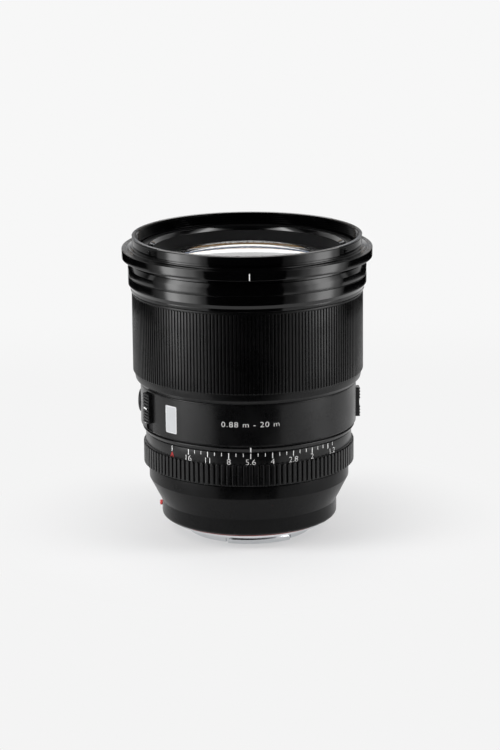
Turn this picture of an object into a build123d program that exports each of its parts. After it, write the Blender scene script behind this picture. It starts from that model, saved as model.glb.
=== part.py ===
from build123d import *
import os
from collections import namedtuple
from math import atan2, cos, degrees, pi, radians, sin, sqrt

os.makedirs("parts", exist_ok=True)

# A fast prime lens for a mirrorless camera, standing on its bayonet with the front up.
# Millimetres. Z is the optical axis and z = 0 is the rear end of the bayonet.
# Angles round the lens are counted from the index side (-Y), positive towards +X.

# Fits and gaps
slip_gap = 0.05
seat_gap = 0.10
pin_gap = 0.04
glass_gap = 0.05
cement_gap = 0.02
turn_gap = 0.30
land_gap = 0.15
slot_gap = 0.08

# Bayonet mount
bayonet_depth = 3.4
claw_wall = 2.8
claw_rise = 1.0
claw_low = 0.0
claw_height = 1.35
claw_count = 3
claw_span = 56.4
claw_middle = 8.3
notch_span = 3.4
notch_depth = 1.6
bayonet_bore = 20.2
flange_thickness = 1.6
flange_ledge = 4.2
spigot_height = 1.6
spigot_wall = 2.4
lip_chamfer = 0.3
flange_edge = 0.15
lock_slot_angle = 118.0
lock_slot_length = 4.4
lock_slot_width = 2.2
lock_slot_inset = 2.2

# Mount screws, countersunk
screw_count = 4
screw_inset = 2.1
screw_first_angle = 45.0
screw_radius = 0.8
screw_head_radius = 1.4
screw_head_height = 0.75
screw_length = 3.3
screw_recess_width = 0.45
screw_recess_depth = 0.4

# Gasket
gasket_width = 0.6
gasket_height = 0.8
gasket_round = 0.15

# Contact block inside the bayonet
contact_count = 10
contact_pitch_angle = 5.6
contact_radius = 0.6
contact_round = 0.2
contact_rise = 0.25
contact_length = 2.2
contact_inset = 1.0
contact_angle = 180.0
block_span = 66.0
block_low = 0.8
block_height = 5.0
block_width = 1.75
block_side_gap = 1.0

# Light baffle at the rear
rear_baffle_width = 4.95
rear_baffle_low = 1.4
rear_baffle_thickness = 1.0
rear_baffle_chamfer = 0.5

# Rear barrel
rear_round = 1.6
rear_overhang = 3.5
rear_band_height = 5.9
rear_cone_height = 8.4
rear_top_wall = 1.7
rear_top_height = 4.5
rear_wall = 1.8
rear_floor = 2.2
skirt_ledge = 13.0
skirt_ledge_width = 2.0
skirt_ledge_depth = 3.56

# Mounting bead
bead_angle = -92.0
bead_radius = 1.05
bead_rise = 0.9
bead_sunk = 0.7
bead_height = 3.5
bead_round = 0.84

# Circuit board and its screws
board_count = 3
board_screw_inset = 2.1
board_first_angle = 15.0
boss_radius = 1.7
boss_height = 2.2
board_thickness = 1.2
board_inner_gap = 1.3
board_outer_gap = 0.5
board_screw_radius = 0.6
board_screw_head = 1.2
board_screw_head_height = 0.8
board_screw_length = 3.0
board_screw_recess = 0.4
chip_width = 7.0
chip_length = 5.5
chip_height = 1.1
chip_angle = 75.0
chip_inset = 4.1
chip_count = 3
chip_step = 120.0

# Chassis barrel, the inner tube that carries everything
lower_wall = 2.9
neck_wall = 1.6
motor_side_gap = 0.4
web_depth = 2.6
web_step = 0.6
upper_step = 0.1
upper_wall = 1.35
shelf_thickness = 1.5
land_width = 2.0
land_inset = 2.4
chassis_top_rise = 3.8

# Aperture ring
ring_chamfer_width = 0.8
ring_chamfer_height = 0.7
knurl_height = 7.2
knurl_rise = 0.85
knurl_depth = 0.7
knurl_count = 120
knurl_crest_share = 0.42
knurl_flank_share = 0.18
ring_wall = 2.35
scale_height = 4.2
ring_inner_gap = 0.35
ring_open_angle = 53.0
ring_closed_angle = 48.0

# Main barrel
switch_room = 2.6
main_length = 17.0
main_chamfer_height = 2.1
main_chamfer_width = 1.3
main_wall = 1.75
main_lip = 1.5
main_top_chamfer = 0.3

# Badge plate, left bare
badge_angle = -45.8
badge_width = 5.7
badge_height = 10.0
badge_corner = 0.7
badge_middle = 9.3
badge_sunk = 0.35
badge_rise = 0.05

# Slide switches, one each side
switch_middle = 9.25
switch_travel = 2.8
knob_length = 10.4
knob_width = 4.9
knob_rise = 1.5
knob_ridge_count = 9
knob_ridge_pitch = 1.1
knob_groove_width = 0.5
knob_groove_depth = 0.35
knob_corner = 0.7
pocket_corner = 0.9
pocket_margin = 0.25
pocket_depth = 1.2
plate_thickness = 0.4
stem_width = 1.4
stem_depth = 2.2
mode_switch_angle = -66.5
click_switch_angle = 93.0
click_waist = 0.9

# Function button and its switch
button_angle = -97.0
button_middle = 8.6
button_radius = 4.1
button_gap = 0.12
button_rise = 1.2
button_dish = 0.25
button_dish_slope = 60.0
button_flange_rise = 0.6
button_flange_height = 0.6
button_travel = 0.45
button_edge = 0.35
button_shell_gap = 0.4
tact_width = 3.2

# Flexible switch board round the back of the chassis
flex_thickness = 0.35
flex_height = 6.0
flex_start = 85.0
flex_span = 215.0

# Focus ring
focus_foot_wall = 1.3
focus_foot_chamfer = 1.3
focus_foot_height = 2.5
focus_wall = 2.2
focus_rib_depth = 0.4
focus_rib_count = 200
focus_crest_share = 0.5
focus_flank_share = 0.14
focus_rib_height = 27.5
focus_rim_height = 0.8
focus_rim_wall = 2.1
focus_room = 0.4

# Front barrel
front_foot_wall = 2.95
front_foot_height = 1.1
front_band_wall = 3.75
front_chamfer_height = 1.3
front_lower_band = 2.95
seam_width = 0.25
seam_depth = 0.3
front_upper_band = 2.6
front_cone_height = 1.6
front_neck_wall = 3.15
front_neck_height = 1.4
front_shoulder = 2.0
front_shoulder_gap = 0.4

# Hood ring with filter thread
hood_flange_ledge = 2.9
hood_flange_height = 3.4
hood_flange_chamfer = 0.35
hood_collar_wall = 1.25
hood_lug_rise = 0.85
hood_collar_height = 4.2
hood_foot_height = 0.5
hood_groove_height = 0.9
hood_lug_count = 2
hood_lug_span = 100.0
hood_edge_round = 0.7
hood_spigot_height = 2.9
hood_spigot_step = 1.25
hood_spigot_wall = 1.9
thread_ledge = 0.7
thread_depth = 0.4
thread_pitch = 0.75
thread_turns = 4
thread_crest_flat = 0.15
thread_lead_in = 0.4
name_shoulder_depth = 4.8

# Name ring, left bare
name_ring_width = 2.9
name_ring_edge = 0.15
name_ring_thickness = 0.8

# Front baffle
bevel_width = 1.7
bevel_height = 1.8
baffle_rib_width = 1.2
baffle_rib_count = 6
baffle_rib_depth = 0.3
baffle_rib_face = 0.5
baffle_rib_back = 0.1
baffle_flange_height = 2.4
baffle_flange_width = 0.9

# Front lens cell
front_cell_waist_depth = 2.6
front_cell_mouth_step = 1.4
front_cell_flange = 2.5
front_cell_pilot_drop = 6.0
front_cell_pilot_height = 3.0
front_cell_spigot = 2.5
front_cell_lip = 1.8

# Iris unit
blade_count = 11
iris_seat_depth = 7.7
iris_lip = 0.1
iris_floor = 1.0
iris_rim_wall = 0.9
iris_rim_height = 3.7
iris_ledge_low = 2.1
iris_ledge_height = 0.5
iris_ledge_width = 1.0
blade_width = 6.5
blade_pivot_inset = 0.8
blade_hip_width = 1.6
blade_hip_span = 27.0
blade_span = 84.0
blade_thickness = 0.10
blade_pitch = 0.16
blade_lift = 0.07
blade_eye = 1.4
pivot_inset = 2.8
pivot_pin = 0.5
pivot_depth = 0.75
drive_step = 1.1
drive_angle = 6.0
drive_pin = 0.45
blade_per_ring = 0.39
drive_per_blade = 0.35
drive_ring_width = 5.1
drive_ring_gap = 0.3
drive_ring_height = 0.9
drive_ring_lift = 0.05
cover_thickness = 0.8

# Iris motor
iris_motor_angle = -90.0
iris_motor_gap = 0.7
iris_motor_radius = 3.4
iris_motor_height = 8.5
iris_motor_ear = 0.8
iris_motor_ear_length = 5.6
iris_motor_ear_width = 2.6

# Focus group
focus_cell_base = 6.5
focus_cell_gap = 1.0
focus_cell_length = 14.0
focus_cell_lip = 1.2
rod_radius = 1.0
rod_inset = 3.9
rod_sleeve = 2.3
sleeve_low = 1.5
sleeve_height = 10.0
guide_low = 5.5
guide_height = 2.0
arm_width = 3.4
nut_arm_low = 6.4
nut_arm_height = 1.1
nut_width = 5.0
nut_height = 3.0
focus_ring_thickness = 1.6
focus_retainer_width = 1.2

# Focus motor and lead screw
motor_inner_gap = 2.4
motor_radius = 4.0
motor_height = 8.9
frame_thickness = 0.8
frame_width = 5.0
frame_inset = 3.2
frame_top_drop = 0.6
lead = 1.0
lead_screw_radius = 1.25
lead_thread_depth = 0.25
lead_crest_flat = 0.1
lead_pivot = 0.75
lead_pivot_length = 1.0
lead_end_gap = 0.15

# Rear lens cell
rear_cell_low = 2.6
rear_cell_lip = 0.8
rear_cell_gap = 2.0
rear_cell_step = 5.9
rear_cell_shoulder = 1.4
rear_cell_length = 21.0
rear_cell_flange = 1.6
rear_ring_thickness = 1.5
rear_retainer_width = 1.1

# Heights along the axis, added up from the bayonet
flange_face_z = bayonet_depth
rear_z = flange_face_z + flange_thickness
cone_z = rear_z + rear_band_height
rear_top_z = cone_z + rear_cone_height
rear_end_z = rear_top_z + rear_top_height
skirt_z = rear_z + skirt_ledge
ring_z = rear_end_z + turn_gap
knurl_z = ring_z + ring_chamfer_height
scale_z = knurl_z + knurl_height
ring_end_z = scale_z + scale_height
main_z = ring_end_z + turn_gap
main_end_z = main_z + main_length
shelf_z = main_end_z + shelf_thickness
focus_z = main_end_z + turn_gap
rib_z = focus_z + focus_foot_chamfer + focus_foot_height
rib_end_z = rib_z + focus_rib_height
focus_end_z = rib_end_z + focus_rim_height
front_z = focus_end_z + turn_gap
chassis_end_z = front_z + chassis_top_rise
seam_z = front_z + front_foot_height + front_chamfer_height + front_lower_band
front_cone_z = seam_z + seam_width + front_upper_band
front_neck_z = front_cone_z + front_cone_height
front_end_z = front_neck_z + front_neck_height
hood_z = front_end_z
collar_z = hood_z + hood_flange_height
lens_top_z = collar_z + hood_collar_height
name_seat_z = lens_top_z - name_shoulder_depth
name_top_z = name_seat_z + name_ring_thickness
web_z = skirt_z + web_depth
iris_z = main_end_z - iris_seat_depth
iris_floor_z = iris_z + iris_floor
iris_rim_z = iris_floor_z + iris_rim_height
front_cell_end_z = name_top_z - baffle_flange_height
focus_cell_z = skirt_z + focus_cell_base
rear_cell_step_z = rear_cell_low + rear_cell_step
rear_cell_end_z = rear_cell_low + rear_cell_length

# Radii from the inside out: each piece leaves its gap to the one that it holds
claw_radius = bayonet_bore + claw_wall
flange_radius = claw_radius + flange_ledge
lock_slot_radius = flange_radius - lock_slot_inset
screw_circle = flange_radius - screw_inset
collar_wall_radius = claw_radius - claw_rise
spigot_radius = bayonet_bore + spigot_wall
mount_bore = spigot_radius + seat_gap
contact_circle = bayonet_bore - contact_inset
block_inner = bayonet_bore - slip_gap - block_width
rear_baffle_opening = bayonet_bore - slip_gap - rear_baffle_width
rear_cell_outer = bayonet_bore - rear_cell_gap
rear_cell_upper = rear_cell_outer + rear_cell_shoulder

rear_radius = flange_radius + rear_overhang
rear_inner = rear_radius - rear_wall
board_inner = rear_cell_upper + board_inner_gap
board_outer = rear_inner - board_outer_gap
board_circle = board_outer - board_screw_inset
chip_circle = board_outer - chip_inset

screw_axis_circle = rear_cell_upper + motor_inner_gap + motor_radius
lower_bore = screw_axis_circle + motor_radius + motor_side_gap
rod_circle = lower_bore - rod_inset
iris_motor_circle = lower_bore - iris_motor_radius - iris_motor_gap
focus_cell_outer = screw_axis_circle - motor_radius - focus_cell_gap
rear_cell_flange_radius = lower_bore + web_step - seat_gap
neck_radius = lower_bore + lower_wall
neck_inner = neck_radius - neck_wall
rear_top_radius = neck_radius + rear_top_wall
ledge_outer = neck_radius + seat_gap
ledge_inner = ledge_outer - skirt_ledge_width

iris_rim_outer = neck_inner - 2 * seat_gap
iris_rim_inner = iris_rim_outer - iris_rim_wall
iris_ledge_radius = iris_rim_inner - iris_ledge_width
drive_ring_outer = iris_rim_inner - drive_ring_gap
drive_ring_inner = drive_ring_outer - drive_ring_width
pivot_circle = iris_rim_inner - pivot_inset
drive_circle = pivot_circle + drive_step
blade_hip = pivot_circle + blade_hip_width
blade_outer = pivot_circle - blade_pivot_inset
blade_inner = blade_outer - blade_width
iris_opening = blade_inner - iris_lip

ring_inner = neck_radius + ring_inner_gap
scale_radius = ring_inner + ring_wall
knurl_radius = scale_radius + knurl_rise
main_inner = neck_radius + switch_room
main_radius = main_inner + main_wall
upper_radius = main_radius - upper_step
upper_inner = upper_radius - upper_wall
focus_inner = upper_radius + focus_room
focus_foot_radius = focus_inner + focus_foot_wall
focus_rib_radius = focus_inner + focus_wall
focus_rim_radius = focus_inner + focus_rim_wall
front_bore = upper_radius + seat_gap
front_foot_radius = front_bore + front_foot_wall
front_band_radius = front_bore + front_band_wall
front_neck_radius = front_bore + front_neck_wall

front_cell_outer = upper_inner - 2 * seat_gap
front_cell_waist = front_cell_outer - front_cell_waist_depth
front_cell_mouth = front_cell_outer - front_cell_mouth_step
front_cell_spigot_radius = neck_inner - 3 * seat_gap
baffle_outer = front_cell_mouth - 2 * seat_gap
bevel_inner = baffle_outer - bevel_width
baffle_inner = bevel_inner - baffle_rib_width
baffle_thread_radius = baffle_outer - baffle_flange_width
name_ring_inner = baffle_outer + seat_gap
name_ring_outer = name_ring_inner + name_ring_width
thread_minor = name_ring_outer + thread_ledge
thread_major = thread_minor + thread_depth
hood_spigot_radius = upper_radius + hood_spigot_step
hood_spigot_bore = hood_spigot_radius - hood_spigot_wall
hood_collar_radius = thread_major + hood_collar_wall
hood_lug_radius = hood_collar_radius + hood_lug_rise
hood_flange_radius = hood_lug_radius + hood_flange_ledge


def around(angle, radius, height):
    """Plane that stands on the lens: x runs round it, y runs up and z points out of it."""
    turn = radians(angle)
    outward = Vector(sin(turn), -cos(turn), 0)
    return Plane(
        origin=outward * radius + Vector(0, 0, height),
        x_dir=(cos(turn), sin(turn), 0),
        z_dir=outward,
    )


def spot(angle, radius):
    """Place in plan at an angle from the index side."""
    return (radius * sin(radians(angle)), -radius * cos(radians(angle)))


def sector(inner, outer, start, span):
    """Draws a ring sector in the open line builder, angles from the index side."""
    first = start - 90
    CenterArc((0, 0), outer, first, span)
    CenterArc((0, 0), inner, first, span)
    Line(spot(start, inner), spot(start, outer))
    Line(spot(start + span, inner), spot(start + span, outer))


def toothed_ring(count, crest, depth, crest_share, flank_share):
    """Corners of a round outline with straight ribs, two on each crest and two in each groove."""
    pitch = 2 * pi / count
    corners = []
    for tooth in range(count):
        for radius, place in (
            (crest - depth, -crest_share / 2 - flank_share),
            (crest, -crest_share / 2),
            (crest, crest_share / 2),
            (crest - depth, crest_share / 2 + flank_share),
        ):
            turn = (tooth + place) * pitch
            corners.append((radius * cos(turn), radius * sin(turn)))
    return corners


def sag(rim, bulge, radius):
    """Height lost at a radius on the sphere that rises by the bulge over its rim."""
    if bulge == 0:
        return 0
    sphere = (rim**2 + bulge**2) / (2 * abs(bulge))
    return (sphere - sqrt(sphere**2 - radius**2)) * (1 if bulge > 0 else -1)


def glass_section(rim, low, high, back, front):
    """Draws half a glass element; back and front are how far its faces bulge out."""
    middle = rim / 2
    back_apex = low - back
    front_apex = high + front
    Line((0, back_apex), (0, front_apex))
    ThreePointArc(
        (0, front_apex), (middle, front_apex - sag(rim, front, middle)), (rim, high)
    )
    Line((rim, high), (rim, low))
    ThreePointArc(
        (rim, low), (middle, back_apex + sag(rim, back, middle)), (0, back_apex)
    )


def finish(piece, name):
    """Names a finished piece and writes it."""
    piece.part.label = name
    export_step(piece.part, f"parts/{name}.step")


# Bayonet mount: flange plate, collar and three claws, with a notch at each claw's ends
with BuildPart() as bayonet_mount:
    with BuildSketch(Plane.XZ):
        with BuildLine():
            Polyline(
                (bayonet_bore, 0),
                (collar_wall_radius - lip_chamfer, 0),
                (collar_wall_radius, lip_chamfer),
                (collar_wall_radius, flange_face_z),
                (flange_radius - flange_edge, flange_face_z),
                (flange_radius, flange_face_z + flange_edge),
                (flange_radius, rear_z),
                (spigot_radius, rear_z),
                (spigot_radius, rear_z + spigot_height),
                (bayonet_bore, rear_z + spigot_height),
                close=True,
            )
        make_face()
    revolve(axis=Axis.Z)
    for claw in range(claw_count):
        claw_start = claw_middle - claw_span / 2 + claw * 360 / claw_count
        with BuildSketch(Plane.XY.offset(claw_low)):
            with BuildLine():
                sector(bayonet_bore + seat_gap, claw_radius, claw_start, claw_span)
            make_face()
        extrude(amount=claw_height)
        for notch_start in (claw_start - notch_span, claw_start + claw_span):
            with BuildSketch(Plane.XY.offset(claw_low)):
                with BuildLine():
                    sector(
                        collar_wall_radius - notch_depth + claw_rise,
                        claw_radius + claw_rise,
                        notch_start,
                        notch_span,
                    )
                make_face()
            extrude(amount=claw_height, mode=Mode.SUBTRACT)
    screw_places = [
        Plane(origin=(*spot(screw_first_angle + turn * 360 / screw_count, screw_circle), flange_face_z),
              x_dir=(1, 0, 0), z_dir=(0, 0, -1))
        for turn in range(screw_count)
    ]
    with Locations(*[place.location for place in screw_places]):
        CounterSinkHole(
            radius=screw_radius + slip_gap,
            counter_sink_radius=screw_head_radius + slip_gap,
            depth=flange_thickness + slip_gap,
            counter_sink_angle=2 * degrees(atan2(screw_head_radius - screw_radius, screw_head_height)),
        )
    with BuildSketch(Plane(origin=(*spot(lock_slot_angle, lock_slot_radius), flange_face_z),
                           x_dir=(cos(radians(lock_slot_angle)), sin(radians(lock_slot_angle)), 0))):
        SlotOverall(lock_slot_length, lock_slot_width)
    extrude(amount=flange_thickness, mode=Mode.SUBTRACT)
finish(bayonet_mount, "bayonet_mount")

# Red gasket round the flange plate
with BuildPart() as mount_gasket:
    with BuildSketch(Plane.XY.offset(rear_z - gasket_height)):
        Circle(flange_radius + slip_gap + gasket_width)
        Circle(flange_radius + slip_gap, mode=Mode.SUBTRACT)
    extrude(amount=gasket_height)
    fillet(mount_gasket.edges().filter_by(GeomType.CIRCLE).sort_by(SortBy.RADIUS)[-2:], gasket_round)
finish(mount_gasket, "mount_gasket")

# Countersunk screws with a cross recess, heads flush with the flange plate
with BuildPart() as mount_screws:
    for turn in range(screw_count):
        centre = spot(screw_first_angle + turn * 360 / screw_count, screw_circle)
        place = Plane(origin=(*centre, flange_face_z))
        with BuildSketch(place):
            Circle(screw_head_radius)
        with BuildSketch(place.offset(screw_head_height)):
            Circle(screw_radius)
        loft()
        with BuildSketch(place.offset(screw_head_height)):
            Circle(screw_radius)
        extrude(amount=screw_length - screw_head_height)
        with BuildSketch(place):
            Rectangle(2 * screw_radius, screw_recess_width)
            Rectangle(screw_recess_width, 2 * screw_radius)
        extrude(amount=screw_recess_depth, mode=Mode.SUBTRACT)
finish(mount_screws, "mount_screws")

# Contact block, a curved bar against the bayonet's bore, with its row of contact pins
contact_start = contact_angle - (contact_count - 1) * contact_pitch_angle / 2
contact_face_z = block_low - contact_rise
with BuildPart() as contact_block:
    with BuildSketch(Plane.XY.offset(block_low)):
        with BuildLine():
            sector(block_inner, bayonet_bore - slip_gap, contact_angle - block_span / 2, block_span)
        make_face()
    extrude(amount=block_height)
    with BuildSketch(Plane.XY.offset(block_low)):
        for contact in range(contact_count):
            with Locations(spot(contact_start + contact * contact_pitch_angle, contact_circle)):
                Circle(contact_radius + slip_gap)
    extrude(amount=contact_length - contact_rise + slip_gap, mode=Mode.SUBTRACT)
finish(contact_block, "contact_block")

with BuildPart() as contact_pins:
    with BuildSketch(Plane.XY.offset(contact_face_z)):
        for contact in range(contact_count):
            with Locations(spot(contact_start + contact * contact_pitch_angle, contact_circle)):
                Circle(contact_radius)
    extrude(amount=contact_length)
    fillet(
        contact_pins.edges().filter_by(GeomType.CIRCLE).group_by(Axis.Z)[0], contact_round
    )
finish(contact_pins, "contact_pins")

# Black baffle round the rear glass, open where the contact block stands
with BuildPart() as rear_baffle:
    with BuildSketch(Plane.XY.offset(rear_baffle_low)):
        Circle(bayonet_bore - slip_gap)
        Circle(rear_baffle_opening, mode=Mode.SUBTRACT)
    extrude(amount=rear_baffle_thickness)
    with BuildSketch(Plane.XY.offset(rear_baffle_low)):
        with BuildLine():
            sector(
                block_inner - slip_gap,
                claw_radius,
                contact_angle - block_span / 2 - block_side_gap,
                block_span + 2 * block_side_gap,
            )
        make_face()
    extrude(amount=rear_baffle_thickness, mode=Mode.SUBTRACT)
    chamfer(
        rear_baffle.edges().filter_by(GeomType.CIRCLE).group_by(Axis.Z)[0].sort_by(SortBy.RADIUS)[0],
        rear_baffle_chamfer,
    )
finish(rear_baffle, "rear_baffle")

# Rear barrel: rounded end, short band, cone and wide band over a thin wall
boss_spots = [
    spot(board_first_angle + turn * 360 / board_count, board_circle) for turn in range(board_count)
]
floor_z = rear_z + rear_floor
with BuildPart() as rear_barrel:
    with BuildSketch(Plane.XZ):
        with BuildLine():
            Line((mount_bore, rear_z), (rear_radius - rear_round, rear_z))
            RadiusArc((rear_radius - rear_round, rear_z), (rear_radius, rear_z + rear_round), -rear_round)
            Polyline(
                (rear_radius, rear_z + rear_round),
                (rear_radius, cone_z),
                (rear_top_radius, rear_top_z),
                (rear_top_radius, rear_end_z),
                (ledge_outer, rear_end_z),
                (ledge_outer, skirt_z),
                (ledge_inner, skirt_z),
                (ledge_inner, skirt_z - skirt_ledge_depth),
                (rear_inner, cone_z),
                (rear_inner, floor_z),
                (mount_bore, floor_z),
                (mount_bore, rear_z),
            )
        make_face()
    revolve(axis=Axis.Z)
    with BuildSketch(Plane.XY.offset(floor_z)):
        with Locations(*boss_spots):
            Circle(boss_radius)
    extrude(amount=boss_height)
    with Locations(*[Location((*place, floor_z + boss_height)) for place in boss_spots]):
        Hole(board_screw_radius + slip_gap, depth=board_screw_length - board_thickness + slip_gap)
    with Locations(*[place.offset(-flange_thickness).location for place in screw_places]):
        Hole(screw_radius + slip_gap, depth=screw_length - flange_thickness + slip_gap)
    with BuildSketch(around(bead_angle, rear_radius - bead_sunk, rear_z + bead_height)):
        Circle(bead_radius + slip_gap)
    extrude(amount=2 * bead_sunk, mode=Mode.SUBTRACT)
finish(rear_barrel, "rear_barrel")

# Red mounting bead, a short post with a domed top
with BuildPart() as mount_index_bead:
    with BuildSketch(around(bead_angle, rear_radius - bead_sunk, rear_z + bead_height)):
        Circle(bead_radius)
    extrude(amount=bead_sunk + bead_rise)
    fillet(
        mount_index_bead.edges().filter_by(GeomType.CIRCLE).sort_by(Axis.X)[0],
        bead_round,
    )
finish(mount_index_bead, "mount_index_bead")

# Circuit board on the rear barrel's bosses, with three chips
board_z = floor_z + boss_height
with BuildPart() as circuit_board:
    with BuildSketch(Plane.XY.offset(board_z)):
        Circle(board_outer)
        Circle(board_inner, mode=Mode.SUBTRACT)
        with Locations(*boss_spots):
            Circle(board_screw_radius + slip_gap, mode=Mode.SUBTRACT)
    extrude(amount=board_thickness)
    with BuildSketch(Plane.XY.offset(board_z + board_thickness)):
        for chip in range(chip_count):
            angle = chip_angle + chip * chip_step
            with Locations(Location((*spot(angle, chip_circle), 0), (0, 0, angle))):
                Rectangle(chip_width, chip_length)
    extrude(amount=chip_height)
finish(circuit_board, "circuit_board")

with BuildPart() as circuit_board_screws:
    with BuildSketch(Plane.XY.offset(board_z + board_thickness)):
        with Locations(*boss_spots):
            Circle(board_screw_head)
    extrude(amount=board_screw_head_height)
    with BuildSketch(Plane.XY.offset(board_z + board_thickness)):
        with Locations(*boss_spots):
            Circle(board_screw_radius)
    extrude(amount=-board_screw_length)
    with BuildSketch(Plane.XY.offset(board_z + board_thickness + board_screw_head_height)):
        with Locations(*boss_spots):
            Rectangle(2 * board_screw_radius, screw_recess_width)
            Rectangle(screw_recess_width, 2 * board_screw_radius)
    extrude(amount=-board_screw_recess, mode=Mode.SUBTRACT)
finish(circuit_board_screws, "circuit_board_screws")

# Chassis barrel: neck under the aperture ring, wide tube under the focus ring
with BuildPart() as chassis_barrel:
    land_radius = focus_inner - land_gap
    lower_land_z = focus_z + land_inset
    upper_land_z = focus_end_z - land_inset - land_width
    with BuildSketch(Plane.XZ):
        with BuildLine():
            Polyline(
                (neck_radius, skirt_z),
                (neck_radius, main_end_z),
                (upper_radius, main_end_z),
                (upper_radius, lower_land_z),
                (land_radius, lower_land_z),
                (land_radius, lower_land_z + land_width),
                (upper_radius, lower_land_z + land_width),
                (upper_radius, upper_land_z),
                (land_radius, upper_land_z),
                (land_radius, upper_land_z + land_width),
                (upper_radius, upper_land_z + land_width),
                (upper_radius, chassis_end_z),
                (upper_inner, chassis_end_z),
                (upper_inner, shelf_z),
                (neck_inner, shelf_z),
                (neck_inner, iris_z),
                (lower_bore, iris_z),
                (lower_bore, web_z),
                (lower_bore + web_step, web_z),
                (lower_bore + web_step, skirt_z),
                close=True,
            )
        make_face()
    revolve(axis=Axis.Z)
finish(chassis_barrel, "chassis_barrel")

# Aperture ring: chamfered foot, knurled band, smooth band for the scale
with BuildPart() as aperture_ring:
    knurl_root = knurl_radius - knurl_depth
    with BuildSketch(Plane.XZ):
        with BuildLine():
            Polyline(
                (ring_inner, ring_z),
                (knurl_root - ring_chamfer_width, ring_z),
                (knurl_root, knurl_z),
                (knurl_root, scale_z),
                (scale_radius, scale_z),
                (scale_radius, ring_end_z),
                (ring_inner, ring_end_z),
                close=True,
            )
        make_face()
    revolve(axis=Axis.Z)
    with BuildSketch(Plane.XY.offset(knurl_z)):
        with BuildLine():
            Polyline(
                *toothed_ring(knurl_count, knurl_radius, knurl_depth, knurl_crest_share, knurl_flank_share),
                close=True,
            )
        make_face()
        Circle(ring_inner, mode=Mode.SUBTRACT)
    extrude(amount=knurl_height)
finish(aperture_ring, "aperture_ring")

# Main barrel: shell with a lip on the neck, pockets for two slide switches, a button hole
# and a shallow seat for the badge plate
switch_z = main_z + switch_middle
pocket_length = knob_length + switch_travel + 2 * pocket_margin
pocket_width = knob_width + 2 * pocket_margin
pocket_floor = main_radius - pocket_depth
stem_slot_width = stem_width + 2 * pocket_margin
stem_slot_length = stem_width + switch_travel + 2 * pocket_margin
badge_seat = main_radius - badge_sunk
button_z = main_z + button_middle
badge_outline = around(badge_angle, main_radius / 2, main_z + badge_middle) * RectangleRounded(
    badge_width + 2 * slip_gap, badge_height + 2 * slip_gap, badge_corner
)
badge_cut = extrude(badge_outline, amount=main_radius) - Cylinder(badge_seat, 2 * lens_top_z)
with BuildPart() as main_barrel:
    with BuildSketch(Plane.XZ):
        with BuildLine():
            Polyline(
                (neck_radius + seat_gap, main_z),
                (main_radius - main_chamfer_width, main_z),
                (main_radius, main_z + main_chamfer_height),
                (main_radius, main_end_z - main_top_chamfer),
                (main_radius - main_top_chamfer, main_end_z),
                (main_inner, main_end_z),
                (main_inner, main_z + main_lip),
                (neck_radius + seat_gap, main_z + main_lip),
                close=True,
            )
        make_face()
    revolve(axis=Axis.Z)
    for angle in (mode_switch_angle, click_switch_angle):
        with BuildSketch(around(angle, pocket_floor, switch_z)):
            RectangleRounded(pocket_width, pocket_length, pocket_corner)
        extrude(amount=2 * pocket_depth, mode=Mode.SUBTRACT)
        with BuildSketch(around(angle, pocket_floor, switch_z)):
            Rectangle(stem_slot_width, stem_slot_length)
        extrude(amount=-main_wall, mode=Mode.SUBTRACT)
    with BuildSketch(around(button_angle, main_radius + main_wall, button_z)):
        Circle(button_radius + button_gap)
    extrude(amount=-3 * main_wall, mode=Mode.SUBTRACT)
    add(badge_cut, mode=Mode.SUBTRACT)
finish(main_barrel, "main_barrel")

# Badge plate, curved like the barrel
with BuildPart() as badge_plate:
    with BuildSketch(Plane.XY.offset(main_z + badge_middle - badge_height)):
        Circle(main_radius + badge_rise)
        Circle(badge_seat, mode=Mode.SUBTRACT)
    extrude(amount=2 * badge_height)
    with BuildSketch(around(badge_angle, main_radius / 2, main_z + badge_middle)):
        RectangleRounded(badge_width, badge_height, badge_corner)
    extrude(amount=main_radius, mode=Mode.INTERSECT)
finish(badge_plate, "badge_plate")

# Slide plates at the bottom of the two switch pockets
knob_seat = pocket_floor + plate_thickness + slip_gap
for name, angle in (("mode_switch_plate", mode_switch_angle), ("click_switch_plate", click_switch_angle)):
    with BuildPart() as slide_plate:
        with BuildSketch(around(angle, pocket_floor, switch_z)):
            RectangleRounded(pocket_width - 2 * slip_gap, pocket_length - 2 * slip_gap, pocket_corner)
            Rectangle(stem_slot_width - slip_gap, stem_slot_length - slip_gap, mode=Mode.SUBTRACT)
        extrude(amount=plate_thickness)
    finish(slide_plate, name)

# Focus mode knob, ridged across, at the upper end of its slot
with BuildPart() as mode_switch_knob:
    knob_plane = around(mode_switch_angle, knob_seat, switch_z + switch_travel / 2)
    knob_top = main_radius + knob_rise - knob_seat
    with BuildSketch(knob_plane):
        RectangleRounded(knob_width, knob_length, knob_corner)
    extrude(amount=knob_top)
    with BuildSketch(knob_plane.offset(knob_top)):
        with GridLocations(0, knob_ridge_pitch, 1, knob_ridge_count):
            Rectangle(2 * knob_width, knob_groove_width)
    extrude(amount=-knob_groove_depth, mode=Mode.SUBTRACT)
    with BuildSketch(knob_plane):
        Rectangle(stem_width, stem_width)
    extrude(amount=-stem_depth)
finish(mode_switch_knob, "mode_switch_knob")

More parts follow.
